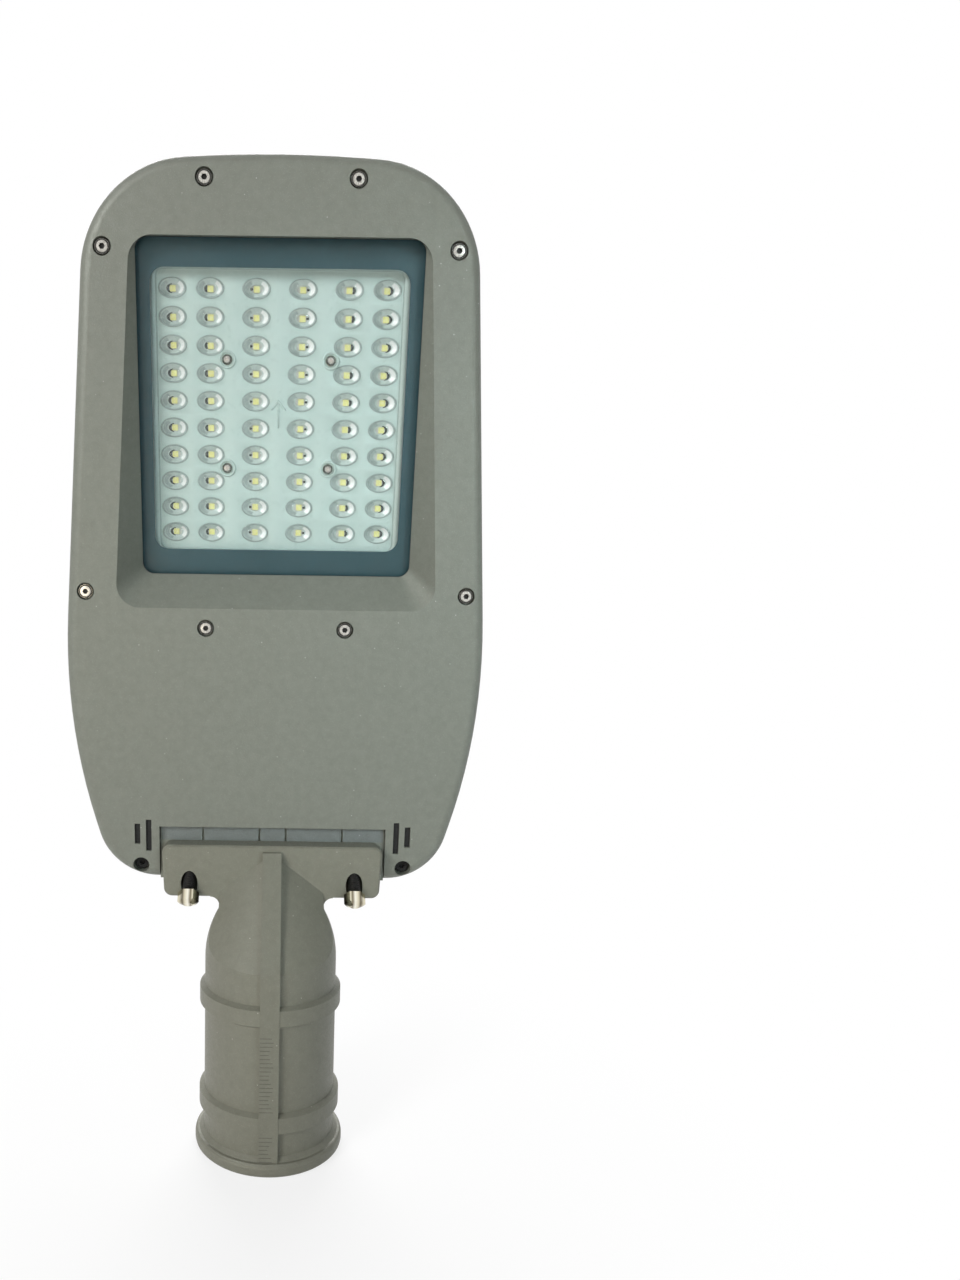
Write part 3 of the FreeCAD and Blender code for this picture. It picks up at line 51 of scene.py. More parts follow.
# Powder coat: flecks are (scale, reach, strength)
COAT_MOTTLE = 240.0
COAT_CONTRAST = 0.6
COAT_POLISH = 900.0
COAT_ROUGHNESS = (0.4, 0.58)
COAT_METALLIC = 0.15
COAT_GRAIN = 1400.0
COAT_GRAIN_DETAIL = 3.0
COAT_BUMP = 0.3
COAT_BUMP_DEPTH = 0.0004
FLECKS = ((1300.0, 0.2, 0.12), (150.0, 0.05, 0.35))
FLECK_CORE = 0.4
FLECK_GREY = 0.8

# Steel, and how much finer than their mottling the polish and the grain of plain surfaces are
STEEL_RANGE = (0.2, 0.8)
STEEL_DARKER = 0.82
STEEL_MOTTLE = 700.0
STEEL_POLISH = 1800.0
STEEL_GRAIN = 2500.0
STEEL_BUMP = 0.03
BOLT_POLISH = 900.0
BOLT_ROUGHNESS = (0.06, 0.16)
POLISH_FINER = 5
GRAIN_FINER = 8
PLAIN_BUMP = 0.06

# Steps round a quarter corner and round a circle
CORNER_STEPS = 8
CIRCLE_STEPS = 24

# Printed border behind the glass: half width, half height and corner radius, in millimetres
PRINT_OUTER = (75.0, 85.5, 6.0)
PRINT_INNER = (65.0, 69.3, 7.0)
PRINT_FRONT = 4.05
PRINT_BACK = 4.2

# Lens plate in the window's frame: rings of a lens are (size, depth), zones number the plate's materials
PLATE_HALF_X = 66.0
PLATE_HALF_Z = 73.0
PLATE_CORNER = 7.0
PLATE_FRONT = 10.4
PLATE_FOOT = 13.38
LIP_FRONT = 9.0
LIP_EDGE = 0.6
LIP_WIDTH = 3.0
LIP_SLOPE = 0.6
COLUMNS = (11.81, 35.31, 54.52)
CELL_EDGES = (0.0, 23.55, 44.9, 62.4)
ROW_PITCH = 13.505
ROWS = 10
LENS_HALF_X = 7.0
LENS_HALF_Z = 4.85
CELL_STEPS = 8
LENS_RINGS = ((1.05, 10.4), (1.0, 10.55), (0.985, 9.9), (0.94, 9.0), (0.86, 8.1), (0.74, 7.2), (0.58, 6.55),
              (0.38, 6.17), (0.18, 6.0))
CUP_RINGS = ((0.97, 10.75), (0.86, 11.2), (0.56, 12.2), (0.44, 12.6))
# Cups: a painted highlight on the right of each lens and painted shade on its left
GLINT_STRIP = 1
GLINT_SPAN = 52.0
SHADED_SIDE_SPAN = 62.0
FACE, RIM_SHADE, BAND, DOME, CUP, SHADE, GLINT, SHADED_SIDE, BACK = range(9)
# The rim ring of each lens is painted shade in the crease round the dome
LENS_ZONES = (RIM_SHADE, BAND, BAND, BAND, DOME, DOME, DOME, DOME)
# On the lip, the bevel is a painted highlight and the inner slope painted shade
LIP_ZONES = (FACE, GLINT, FACE, RIM_SHADE)
# Painted shade: dark crescents beside the chips
SHADE_DEPTH = 12.5
SHADE_THICKNESS = 0.1
SHADE_RADII = (1.9, 3.3)
SHADE_SPANS = (12.0, 40.0, 80.0)
SHADE_STEPS = 10
SCREW_SITE = (26.73, 27.01)
SCREW_RING = ((4.6, 10.4), (4.4, 9.65), (3.4, 9.65), (3.3, 10.4))
ARROW_LINES = (((0.0, -6.0), (0.0, 7.0)), ((0.0, 7.0), (-3.4, 3.0)), ((0.0, 7.0), (3.4, 3.0)))
ARROW_WIDTH = 0.9
ARROW_HEIGHT = 0.5
ARROW_TOP = 0.6

# Screw tops: places (x, z) in the head's frame, depths of the heads, and rings (radius, rise)
COVER_SCREWS = ((37.0, 356.2), (86.7, 325.0), (99.4, 158.4), (36.6, 139.9))
COVER_SCREW_TOP = 0.6
# The first ring of a screw top is painted shade, the dark gap where the head sits in its hole; its socket is
# painted shade too
TOP_RINGS = ((3.46, 0.03), (2.95, 0.03), (2.65, 0.35), (1.75, 0.4))
BRIGHT, SCREW_SHADE = range(2)
TOP_ZONES = (SCREW_SHADE, BRIGHT, BRIGHT)
SOCKET_HALF = 1.3
SOCKET_DEPTH = 1.2
LENS_SCREW_TOP = 8.6
LENS_SCREW_SIZE = 0.6

# Lines on the front rib: their right ends come and go with a sine
TICK_FACE = -38.2
TICK_PROUD = 0.1
TICK_SPANS = ((35.0, 78.0), (8.0, 24.0))
TICK_PITCH = 2.2
TICK_LEFT = -4.8
TICK_RIGHT = 2.2
TICK_RAGGED = 2.5
TICK_SWING = 3.7
TICK_HALF_FOOT = 0.22
TICK_HALF_CREST = 0.1

# Flange bolts: painted reflections in streaks, each (place across the head, screen colour)
BOLT_FACE = (45.0, 5.0, 141.8)
BOLT_SLANT = 50.0
BOLT_HALF = 6.0
BOLT_REFLECTIONS = ((0.1, (60, 54, 42)), (0.26, (236, 230, 206)), (0.38, (120, 110, 88)), (0.5, (250, 246, 230)),
                (0.62, (222, 214, 190)), (0.74, (96, 88, 70)), (0.9, (214, 206, 180)))
THREAD_RADII = (3.1, 3.5)
THREAD_SPAN = (-10.0, 4.9)
THREAD_PITCH = 1.0

# Vent shades, dark plates of painted shade in the slots, (x, low z, high z) in the head's frame, and seat
# plates (left, right) in the lamp's
VENTS = ((68.2, 16.0, 34.0), (74.4, 20.0, 31.6))
VENT_HALF = 1.54
VENT_SHADE_DEPTH = 1.4
SEAT_PLATES = ((-61.4, -39.1), (-37.9, -7.9), (-6.7, 6.7), (7.9, 37.9), (39.1, 61.4))
SEAT_FACE = 16.93
SEAT_LOW = 163.3
SEAT_HIGH = 171.2
THIN_PLATE = 0.05

# Floor and surroundings, in metres: the floor's shadow fades out between two distances from the lamp
FLOOR_GREY = 0.82
FLOOR_ROUGHNESS = 0.9
FLOOR_SIZE = 6.0
FLOOR_DROP = 0.0005
SHADOW_NEAR = 0.05
SHADOW_FAR = 0.28
SHADOW_FADE = 0.8
WORLD_LIGHT = 0.1

# Lamps: name, place, target and size in metres, power in watts, colour, and fan of the light in degrees
PLAIN = (1.0, 1.0, 1.0)
COOL = (0.78, 0.97, 1.0)
WARM = (1.0, 0.88, 0.66)
LAMPS = (
    ("key", (-1.7, -2.0, 1.5), (0.0, 0.0, 0.2), (0.8, 0.8), 51.0, PLAIN, 180.0),
    ("front", (0.6, -1.1, 0.6), (0.14, 0.0, 0.28), (0.3, 0.3), 0.25, COOL, 30.0),
    ("foot", (-0.4, -0.85, 0.14), (0.0, 0.0, 0.08), (0.3, 0.3), 1.2, WARM, 180.0),
    ("back", (0.0, 1.3, 1.2), (0.0, 0.0, 0.25), (1.2, 1.0), 34.0, PLAIN, 180.0),
)

# Camera: image, focal length and principal point in pixels, sensor in millimetres, place in metres,
# dip and roll in degrees
IMAGE_WIDTH = 960
IMAGE_HEIGHT = 1280
FOCAL = 920.72
PRINCIPAL_X = 275.0
PRINCIPAL_Y = 713.74
SENSOR = 36.0
CAMERA_PLACE = (0.0005, -0.4837, 0.2907)
CAMERA_DIP = 6.41
CAMERA_ROLL = 0.81
CLIP_START = 0.01


def tilted(base, place, tilt):
    """Frame at a place of a base frame, turned about X."""
    move = Matrix.Translation([part * MM for part in place])
    return base @ move @ Matrix.Rotation(math.radians(tilt), 4, "X")


# Frames of the lamp, its head and its window: X runs across, Y towards the back and Z up
lamp_frame = Matrix.Identity(4)
head_frame = tilted(lamp_frame, HEAD_PLACE, HEAD_TILT)
window_frame = tilted(head_frame, WINDOW_PLACE, WINDOW_TILT)


def make_material(name):
    """New node material, with its node tree and its shader."""
    material = bpy.data.materials.new(name)
    material.use_nodes = True
    tree = material.node_tree
    return material, tree, tree.nodes["Principled BSDF"]


def add(tree, kind, **inputs):
    """New node with some of its inputs set by name."""
    node = tree.nodes.new(kind)
    for key, value in inputs.items():
        node.inputs[key.replace("_", " ")].default_value = value
    return node


def calculate(tree, operation, *sources):
    """Result of a sum on one or two values."""
    node = tree.nodes.new("ShaderNodeMath")
    node.operation = operation
    for number, source in enumerate(sources):
        tree.links.new(source, node.inputs[number])
    return node.outputs["Value"]


def srgb(red, green, blue):
    """Linear colour from the 0 to 255 values a screen shows."""
    def linear(value):
        share = value / 255
        return share / 12.92 if share <= 0.04045 else ((share + 0.055) / 1.055) ** 2.4
    return (linear(red), linear(green), linear(blue), 1.0)


def grey(value):
    return (value, value, value, 1.0)


def coordinates(tree):
    return tree.nodes.new("ShaderNodeTexCoord").outputs["Object"]


def noise(tree, scale, detail=2.0, roughness=0.5):
    node = add(tree, "ShaderNodeTexNoise", Scale=scale, Detail=detail, Roughness=roughness)
    tree.links.new(coordinates(tree), node.inputs["Vector"])
    return node.outputs["Fac"]


def ramp(tree, source, places, colours):
    """Colour ramp over a value."""
    node = tree.nodes.new("ShaderNodeValToRGB")
    tree.links.new(source, node.inputs["Fac"])
    points = node.color_ramp.elements
    while len(points) < len(colours):
        points.new(0.5)
    for point, place, colour in zip(points, places, colours):
        point.position = place
        point.color = colour
    return node.outputs["Color"]


def spread(tree, source, low, high, to_low, to_high):
    """Value carried over from one range to another."""
    node = add(tree, "ShaderNodeMapRange", From_Min=low, From_Max=high, To_Min=to_low, To_Max=to_high)
    tree.links.new(source, node.inputs["Value"])
    return node.outputs["Result"]


def bump(tree, shader, height, strength, distance):
    """Relief from a height."""
    node = add(tree, "ShaderNodeBump", Strength=strength, Distance=distance)
    tree.links.new(height, node.inputs["Height"])
    tree.links.new(node.outputs["Normal"], shader.inputs["Normal"])


def uneven_polish(tree, shader, scale, roughness):
    """Roughness that wanders between a low and a high value."""
    rough = spread(tree, noise(tree, scale), *NOISE_RANGE, *roughness)
    tree.links.new(rough, shader.inputs["Roughness"])


def powder_coat(name, dark, light):
    """Textured warm grey paint: faint mottling, fine grain and small bright flecks."""
    material, tree, shader = make_material(name)
    mottling = noise(tree, COAT_MOTTLE, MOTTLE_DETAIL, COAT_CONTRAST)
    colour = ramp(tree, mottling, NOISE_RANGE, (srgb(*dark), srgb(*light)))
    for scale, reach, strength in FLECKS:
        fleck = add(tree, "ShaderNodeTexVoronoi", Scale=scale)
        tree.links.new(coordinates(tree), fleck.inputs["Vector"])
        spark = ramp(tree, fleck.outputs["Distance"], (FLECK_CORE * reach, reach), (grey(1.0), grey(0.0)))
        mix = add(tree, "ShaderNodeMix")
        mix.data_type = "RGBA"
        mix.blend_type = "ADD"
        tree.links.new(spread(tree, spark, 0.0, 1.0, 0.0, strength), mix.inputs["Factor"])
        tree.links.new(colour, mix.inputs["A"])
        mix.inputs["B"].default_value = grey(FLECK_GREY)
        colour = mix.outputs["Result"]
    tree.links.new(colour, shader.inputs["Base Color"])
    uneven_polish(tree, shader, COAT_POLISH, COAT_ROUGHNESS)
    shader.inputs["Metallic"].default_value = COAT_METALLIC
    grain = noise(tree, COAT_GRAIN, COAT_GRAIN_DETAIL, COAT_CONTRAST)
    bump(tree, shader, grain, COAT_BUMP, COAT_BUMP_DEPTH)
    return material


def bright_steel(name, colour, roughness):
    """Turned stainless steel with fine uneven polish."""
    material, tree, shader = make_material(name)
    shader.inputs["Metallic"].default_value = 1.0
    light = srgb(*colour)
    dark = tuple(STEEL_DARKER * part for part in light[:3]) + (1.0,)
    tint = ramp(tree, noise(tree, STEEL_MOTTLE, MOTTLE_DETAIL), STEEL_RANGE, (dark, light))
    tree.links.new(tint, shader.inputs["Base Color"])
    uneven_polish(tree, shader, STEEL_POLISH, roughness)
    bump(tree, shader, noise(tree, STEEL_GRAIN), STEEL_BUMP, FINE_GRAIN)
    return material


def plain_surface(name, dark, light, scale, roughness, metallic=0.0, alpha=1.0):
    """Matt, satin or clear surface with slight mottling and grain."""
    material, tree, shader = make_material(name)
    tint = ramp(tree, noise(tree, scale, MOTTLE_DETAIL), NOISE_RANGE, (srgb(*dark), srgb(*light)))
    tree.links.new(tint, shader.inputs["Base Color"])
    uneven_polish(tree, shader, POLISH_FINER * scale, roughness)
    shader.inputs["Metallic"].default_value = metallic
    shader.inputs["Alpha"].default_value = alpha
    bump(tree, shader, noise(tree, GRAIN_FINER * scale), PLAIN_BUMP, FINE_GRAIN)
    return material


def bolt_with_painted_reflections(name, reflections, centre, half):
    """Polished steel with painted reflections in streaks along a bolt, at the same distance on both sides of
    the lamp.
    """
    material, tree, shader = make_material(name)
    parts = tree.nodes.new("ShaderNodeSeparateXYZ")
    tree.links.new(coordinates(tree), parts.inputs["Vector"])
    away = calculate(tree, "ABSOLUTE", parts.outputs["X"])
    across = spread(tree, away, centre - half, centre + half, 0.0, 1.0)
    places = [place for place, colour in reflections]
    tint = ramp(tree, across, places, [srgb(*colour) for place, colour in reflections])
    tree.links.new(tint, shader.inputs["Base Color"])
    uneven_polish(tree, shader, BOLT_POLISH, BOLT_ROUGHNESS)
    shader.inputs["Metallic"].default_value = 1.0
    return material


# Materials: dark and light tint as screen colours, scale of the mottling, and range of the roughness
paint = powder_coat("powder_coat", (113, 116, 107), (120, 123, 114))
socket_paint = powder_coat("socket_coat", (111, 111, 99), (118, 118, 106))
tick_line = powder_coat("tick_line", (84, 84, 75), (92, 92, 82))
seat_coat = powder_coat("seat_coat", (104, 110, 108), (112, 118, 117))
# Matt black of the tail screws, also the painted shade in the vent slots
black_and_shade = plain_surface("black_and_vent_shade", (10, 10, 10), (20, 20, 19), 300.0, (0.7, 0.9))
steel = bright_steel("stainless", (214, 209, 200), (0.1, 0.24))
# Flange bolts: polished steel with painted reflections
bolt_reflections = bolt_with_painted_reflections("bolt_painted_reflections", BOLT_REFLECTIONS, BOLT_FACE[0] * MM, BOLT_HALF * MM)
screw_zinc = plain_surface("screw_zinc", (168, 165, 158), (206, 203, 196), 700.0, (0.18, 0.3), metallic=0.7)
# Dark steel of the bolt threads, also the painted shade on the screw tops
dark_steel_and_shade = plain_surface("dark_steel_and_screw_shade", (20, 20, 20), (38, 37, 35), 900.0, (0.3, 0.5), metallic=0.6)
rubber = plain_surface("black_rubber", (24, 24, 24), (38, 38, 38), 300.0, (0.6, 0.8))
glass = plain_surface("pane_glass", (120, 140, 140), (150, 168, 168), 60.0, (0.03, 0.12), alpha=0.04)
print_teal = plain_surface("glass_print", (17, 58, 66), (22, 63, 72), 45.0, (0.35, 0.5))
chip_yellow = plain_surface("chip_phosphor", (243, 240, 138), (250, 249, 176), 900.0, (0.3, 0.45))
board_white = plain_surface("board_mask", (214, 220, 218), (226, 231, 229), 300.0, (0.35, 0.5))
pad_grey = plain_surface("pad_silicone", (150, 154, 160), (166, 170, 176), 300.0, (0.6, 0.8))
case_metal = plain_surface("case_aluminium", (170, 172, 174), (188, 190, 192), 250.0, (0.35, 0.5),
                           metallic=0.9)
case_plastic = plain_surface("case_plastic", (34, 34, 36), (48, 48, 50), 300.0, (0.45, 0.6))
lens_face = plain_surface("lens_face", (188, 209, 204), (195, 215, 210), 90.0, (0.25, 0.4))
# Painted shade in the crease round each dome and on the lip's inner slope
lens_rim_shade = plain_surface("lens_rim_shade", (158, 177, 173), (173, 190, 186), 700.0, (0.15, 0.3))
lens_band = plain_surface("lens_band", (160, 180, 176), (178, 197, 193), 500.0, (0.06, 0.14), alpha=0.36)
lens_dome = plain_surface("lens_dome", (226, 236, 234), (240, 247, 246), 400.0, (0.04, 0.1), alpha=0.1)
lens_cup = plain_surface("lens_cup", (190, 206, 202), (204, 218, 214), 500.0, (0.2, 0.35))
# Painted highlight on the cups and on the lip's edge, and painted shade on the cups' left sides
lens_glint = plain_surface("lens_glint", (244, 249, 248), (251, 253, 253), 500.0, (0.2, 0.35))
lens_shaded_side = plain_surface("lens_shaded_side", (156, 171, 167), (174, 188, 184), 500.0, (0.2, 0.35))
# Painted shade for the crescents beside the chips
lens_shade = plain_surface("lens_shade", (10, 12, 11), (28, 31, 29), 900.0, (0.75, 0.9))

# Materials of the model's own pieces; those not named here are of steel
finishes = {
    "housing": paint, "front_cover": paint, "pole_adapter": socket_paint,
    "tail_screws": black_and_shade, "flange_bolts": bolt_reflections,
    "cover_gasket": rubber, "glass_gasket": rubber, "cable_grommet": rubber, "led_lead": rubber,
    "window_glass": glass, "lens_plate": lens_face, "led_chips": chip_yellow, "led_board": board_white,
    "thermal_pad": pad_grey, "led_driver": case_metal,
    "surge_protector": case_plastic, "terminal_block": case_plastic,
}
for name, piece in nodes.items():
    piece.data.materials.clear()
    piece.data.materials.append(finishes.get(name, steel))


class Form:
    """Points and faces of one piece, in millimetres of a frame, with a material number for each face."""

    def __init__(self):
        self.points = []
        self.faces = []
        self.zones = []

    def ring(self, points):
        """Numbers of some new points."""
        first = len(self.points)
        self.points += points
        return list(range(first, len(self.points)))

    def face(self, corners, zone=0):
        self.faces.append(corners)
        self.zones.append(zone)

    def bridge(self, first, second, zone=0, closed=True):
        """Strip of quads between two rows of points."""
        count = len(first)
        for k in range(count if closed else count - 1):
            after = (k + 1) % count
            self.face([first[k], first[after], second[after], second[k]], zone)

    def rings(self, rows, zones):
        """Strips through several rings, one zone for each strip."""
        for first, second, zone in zip(rows, rows[1:], zones):
            self.bridge(first, second, zone)

    def block(self, base, top, zone=0):
        """Closed block between two rings."""
        self.bridge(base, top, zone)
        self.face(top, zone)
        self.face(base[::-1], zone)

    def finish(self, name, place, materials, smooth=True):
        """The piece itself, in the lamp's frame."""
        mesh = bpy.data.meshes.new(name)
        mesh.from_pydata([place @ (Vector(point) * MM) for point in self.points], [], self.faces)
        for material in materials:
            mesh.materials.append(material)
        for polygon, zone in zip(mesh.polygons, self.zones):
            polygon.material_index = zone
            polygon.use_smooth = smooth
        mesh.validate()
        piece = bpy.data.objects.new(name, mesh)
        bpy.context.scene.collection.objects.link(piece)
        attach(piece, "root")
        return piece


def full_turn():
    """Angles once round a circle."""
    return [2 * math.pi * k / CIRCLE_STEPS for k in range(CIRCLE_STEPS)]


def circle(x, z, radius, y):
    return [(x + radius * math.cos(turn), y, z + radius * math.sin(turn)) for turn in full_turn()]


def rectangle(x_from, x_to, z_from, z_to, y):
    return [(x_from, y, z_from), (x_to, y, z_from), (x_to, y, z_to), (x_from, y, z_to)]


def rounded_loop(half_x, half_z, corner, y):
    """Rounded rectangle as points, from the right over the top."""
    loop = []
    for turn, (side_x, side_z) in enumerate(((1, 1), (-1, 1), (-1, -1), (1, -1))):
        for step in range(CORNER_STEPS + 1):
            angle = math.radians(90.0 * (turn + step / CORNER_STEPS))
            loop.append((side_x * (half_x - corner) + corner * math.cos(angle), y,
                         side_z * (half_z - corner) + corner * math.sin(angle)))
    return loop


def build_print():
    """Dark printed border just behind the glass."""
    form = Form()
    corners = ((PRINT_INNER, PRINT_FRONT), (PRINT_OUTER, PRINT_FRONT),
               (PRINT_OUTER, PRINT_BACK), (PRINT_INNER, PRINT_BACK))
    rows = [form.ring(rounded_loop(*size, y)) for size, y in corners]
    form.rings(rows + rows[:1], [0] * len(rows))
    form.finish("glass_print", window_frame, [print_teal], smooth=False)


def cell_loop(left, right, low, high):
    """Points round a rectangle, with its corners."""
    corners = ((right, low), (right, high), (left, high), (left, low))
    loop = []
    for (x, z), (next_x, next_z) in zip(corners, corners[1:] + corners[:1]):
        for step in range(CELL_STEPS):
            share = step / CELL_STEPS
            loop.append((x + share * (next_x - x), z + share * (next_z - z)))
    return loop


def add_lens(form, site_x, site_z, edges):
    """One cell of the plate: flat face round an oval dome, over a cup with a painted highlight on its right
    and painted shade on its left.
    """
    low, high = site_z - ROW_PITCH / 2, site_z + ROW_PITCH / 2
    loop = cell_loop(*edges, low, high)
    turns = [math.atan2((z - site_z) / LENS_HALF_Z, (x - site_x) / LENS_HALF_X) for x, z in loop]

    def oval(size, y):
        return form.ring([(site_x + size * LENS_HALF_X * math.cos(turn), y,
                           site_z + size * LENS_HALF_Z * math.sin(turn)) for turn in turns])

    rows = [oval(size, y) for size, y in LENS_RINGS]
    form.bridge(form.ring([(x, PLATE_FRONT, z) for x, z in loop]), rows[0], FACE)
    form.rings(rows, LENS_ZONES)
    form.face(rows[-1], DOME)
    cups = [oval(size, y) for size, y in CUP_RINGS]
    form.rings(cups, [CUP] * len(cups))
    # Zones of the cup's strip that take the painted highlight and the painted shade
    first = len(form.zones) - (len(cups) - 1 - GLINT_STRIP) * len(turns)
    for number, turn in enumerate(turns):
        if abs(turn) < math.radians(GLINT_SPAN):
            form.zones[first + number] = GLINT
        elif abs(turn) > math.pi - math.radians(SHADED_SIDE_SPAN):
            form.zones[first + number] = SHADED_SIDE


def add_shade(form, site_x, site_z, span):
    """Painted shade: dark crescent sheet on the outer side of a chip, where the lens hides the board."""
    middle = 0.0 if site_x > 0 else 180.0
    shares = [2 * step / SHADE_STEPS - 1 for step in range(SHADE_STEPS + 1)]
    turns = [math.radians(middle + span * share) for share in shares]
    inner, outer = SHADE_RADII
    back = SHADE_DEPTH + SHADE_THICKNESS
    rows = []
    for radius, y in ((inner, SHADE_DEPTH), (outer, SHADE_DEPTH), (outer, back), (inner, back)):
        arc = [(site_x + radius * math.cos(turn), y, site_z + radius * math.sin(turn)) for turn in turns]
        rows.append(form.ring(arc))
    for first, second in zip(rows, rows[1:] + rows[:1]):
        form.bridge(first, second, SHADE, closed=False)
    form.face([row[0] for row in rows], SHADE)
    form.face([row[-1] for row in reversed(rows)], SHADE)


def add_bar(form, start, end):
    """Low bar of the arrow on the plate's face, between two points (x, z)."""
    along = Vector((end[0] - start[0], end[1] - start[1])).normalized() * ARROW_WIDTH / 2
    side = Vector((-along.y, along.x))
    rows = []
    for y, grow in ((PLATE_FRONT, 1.0), (PLATE_FRONT - ARROW_HEIGHT, ARROW_TOP)):
        corners = []
        for (x, z), ahead, aside in ((start, -1, -1), (end, 1, -1), (end, 1, 1), (start, -1, 1)):
            reach = grow * (ahead * along + aside * side)
            corners.append((x + reach.x, y, z + reach.y))
        rows.append(form.ring(corners))
    form.block(*rows, zone=FACE)


def lens_screw_sites():
    """Places (x, z) of the four screws of the lens plate."""
    x, z = SCREW_SITE
    return [(side_x * x, side_z * z) for side_x in (-1, 1) for side_z in (-1, 1)]


def build_lens_plate():
    """Moulded plate: sixty domes in cells, a lip round the edge, rings round the screws and an arrow."""
    form = Form()
    heights = [(k - (ROWS - 1) / 2) * ROW_PITCH for k in range(ROWS)]
    for number, column in enumerate(COLUMNS):
        inner, outer = CELL_EDGES[number], CELL_EDGES[number + 1]
        for site_z in heights:
            add_lens(form, column, site_z, (inner, outer))
            add_lens(form, -column, site_z, (-outer, -inner))
            add_shade(form, column, site_z, SHADE_SPANS[number])
            add_shade(form, -column, site_z, SHADE_SPANS[number])
    reach, grid, edge = CELL_EDGES[-1], ROWS / 2 * ROW_PITCH, PLATE_HALF_Z - LIP_WIDTH
    for side in (-1, 1):
        form.face(form.ring(rectangle(-reach, reach, side * grid, side * edge, PLATE_FRONT)), FACE)
    lip = [(0.0, PLATE_FOOT), (0.0, LIP_FRONT + LIP_EDGE), (LIP_EDGE, LIP_FRONT), (LIP_WIDTH, LIP_FRONT),
           (LIP_WIDTH + LIP_SLOPE, PLATE_FRONT)]
    rows = [form.ring(rounded_loop(PLATE_HALF_X - inset, PLATE_HALF_Z - inset, PLATE_CORNER - inset, y))
            for inset, y in lip]
    form.rings(rows, LIP_ZONES)
    form.face(form.ring(rounded_loop(PLATE_HALF_X, PLATE_HALF_Z, PLATE_CORNER, PLATE_FOOT)), BACK)
    for x, z in lens_screw_sites():
        rows = [form.ring(circle(x, z, radius, y)) for radius, y in SCREW_RING]
        form.rings(rows, [FACE] * len(rows))
    for start, end in ARROW_LINES:
        add_bar(form, start, end)
    lens_materials = [lens_face, lens_rim_shade, lens_band, lens_dome, lens_cup, lens_shade, lens_glint, lens_shaded_side,
                      board_white]
    plate = form.finish("lens_plate_clear", window_frame, lens_materials)
    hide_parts("lens_plate")


def add_screw_top(form, x, z, depth, size=1.0):
    """Bright worn face on the head of a screw, with painted shade: a dark edge where it sits in its hole and
    a dark hexagon socket.
    """
    rows = [form.ring(circle(x, z, size * radius, depth - rise)) for radius, rise in TOP_RINGS]
    form.rings(rows, TOP_ZONES)
    rim = TOP_RINGS[-1][1]
    hexagon = []
    for turn in full_turn():
        reach = size * SOCKET_HALF / math.cos(turn % (math.pi / 3) - math.pi / 6)
        hexagon.append((x + reach * math.cos(turn), z + reach * math.sin(turn)))
    mouth = form.ring([(px, depth - rim, pz) for px, pz in hexagon])
    floor = form.ring([(px, depth - rim + SOCKET_DEPTH, pz) for px, pz in hexagon])
    form.bridge(rows[-1], mouth, BRIGHT)
    form.bridge(mouth, floor, SCREW_SHADE)
    form.face(floor, SCREW_SHADE)


def build_screw_tops():
    """Tops of the cover's screws and, smaller, of the lens plate's screws."""
    form = Form()
    for x, z in COVER_SCREWS:
        add_screw_top(form, x, z, COVER_SCREW_TOP)
        add_screw_top(form, -x, z, COVER_SCREW_TOP)
    form.finish("screw_tops", head_frame, [screw_zinc, dark_steel_and_shade], smooth=False)
    small = Form()
    for x, z in lens_screw_sites():
        add_screw_top(small, x, z, LENS_SCREW_TOP, LENS_SCREW_SIZE)
    small.finish("lens_screw_tops", window_frame, [screw_zinc, dark_steel_and_shade], smooth=False)


def build_ticks():
    """Fine cast lines across the left half of the front rib."""
    form = Form()
    for low, high in TICK_SPANS:
        for step in range(int((high - low) / TICK_PITCH)):
            z = low + step * TICK_PITCH
            right = TICK_RIGHT - TICK_RAGGED * math.sin(TICK_SWING * step) ** 2
            rows = []
            for y, half in ((TICK_FACE, TICK_HALF_FOOT), (TICK_FACE - TICK_PROUD, TICK_HALF_CREST)):
                rows.append(form.ring(rectangle(TICK_LEFT, right, z - half, z + half, y)))
            form.block(*rows)
    form.finish("rib_ticks", lamp_frame, [tick_line], smooth=False)


def add_plate(form, x_from, x_to, z_from, z_to, y):
    """Thin plate that faces the front."""
    front = form.ring(rectangle(x_from, x_to, z_from, z_to, y))
    back = form.ring(rectangle(x_from, x_to, z_from, z_to, y + THIN_PLATE))
    form.block(back, front)


def build_vent_shades():
    """Painted shade: dark plates that make the vent slots look dark at their bottoms."""
    form = Form()
    for x, z_from, z_to in VENTS:
        for side in (-1, 1):
            add_plate(form, side * x - VENT_HALF, side * x + VENT_HALF, z_from, z_to, VENT_SHADE_DEPTH)
    form.finish("vent_shades", head_frame, [black_and_shade], smooth=False)


def build_seat_strip():
    """Bluish plates of the seat that show over the flange, between its grooves."""
    form = Form()
    for x_from, x_to in SEAT_PLATES:
        add_plate(form, x_from, x_to, SEAT_LOW, SEAT_HIGH, SEAT_FACE)
    form.finish("seat_strip", lamp_frame, [seat_coat], smooth=False)


def build_threads():
    """Black threads on the flange bolts, between the flange and the heads."""
    form = Form()
    slant = math.radians(BOLT_SLANT)
    out = Vector((0.0, -math.cos(slant), -math.sin(slant)))
    up = Vector((0.0, -math.sin(slant), math.cos(slant)))
    across = Vector((1.0, 0.0, 0.0))
    start, end = THREAD_SPAN
    count = int((end - start) / THREAD_PITCH * 2)
    for side in (-1, 1):
        face = Vector((side * BOLT_FACE[0], BOLT_FACE[1], BOLT_FACE[2]))
        rows = []
        for step in range(count + 1):
            middle = face + out * (start + step * THREAD_PITCH / 2)
            radius = THREAD_RADII[step % 2]
            spokes = [(across * math.cos(turn) + up * math.sin(turn)) * radius for turn in full_turn()]
            rows.append(form.ring([tuple(middle + spoke) for spoke in spokes]))
        form.rings(rows, [0] * len(rows))
        form.face(rows[0][::-1])
        form.face(rows[-1])
    form.finish("bolt_threads", lamp_frame, [dark_steel_and_shade], smooth=False)


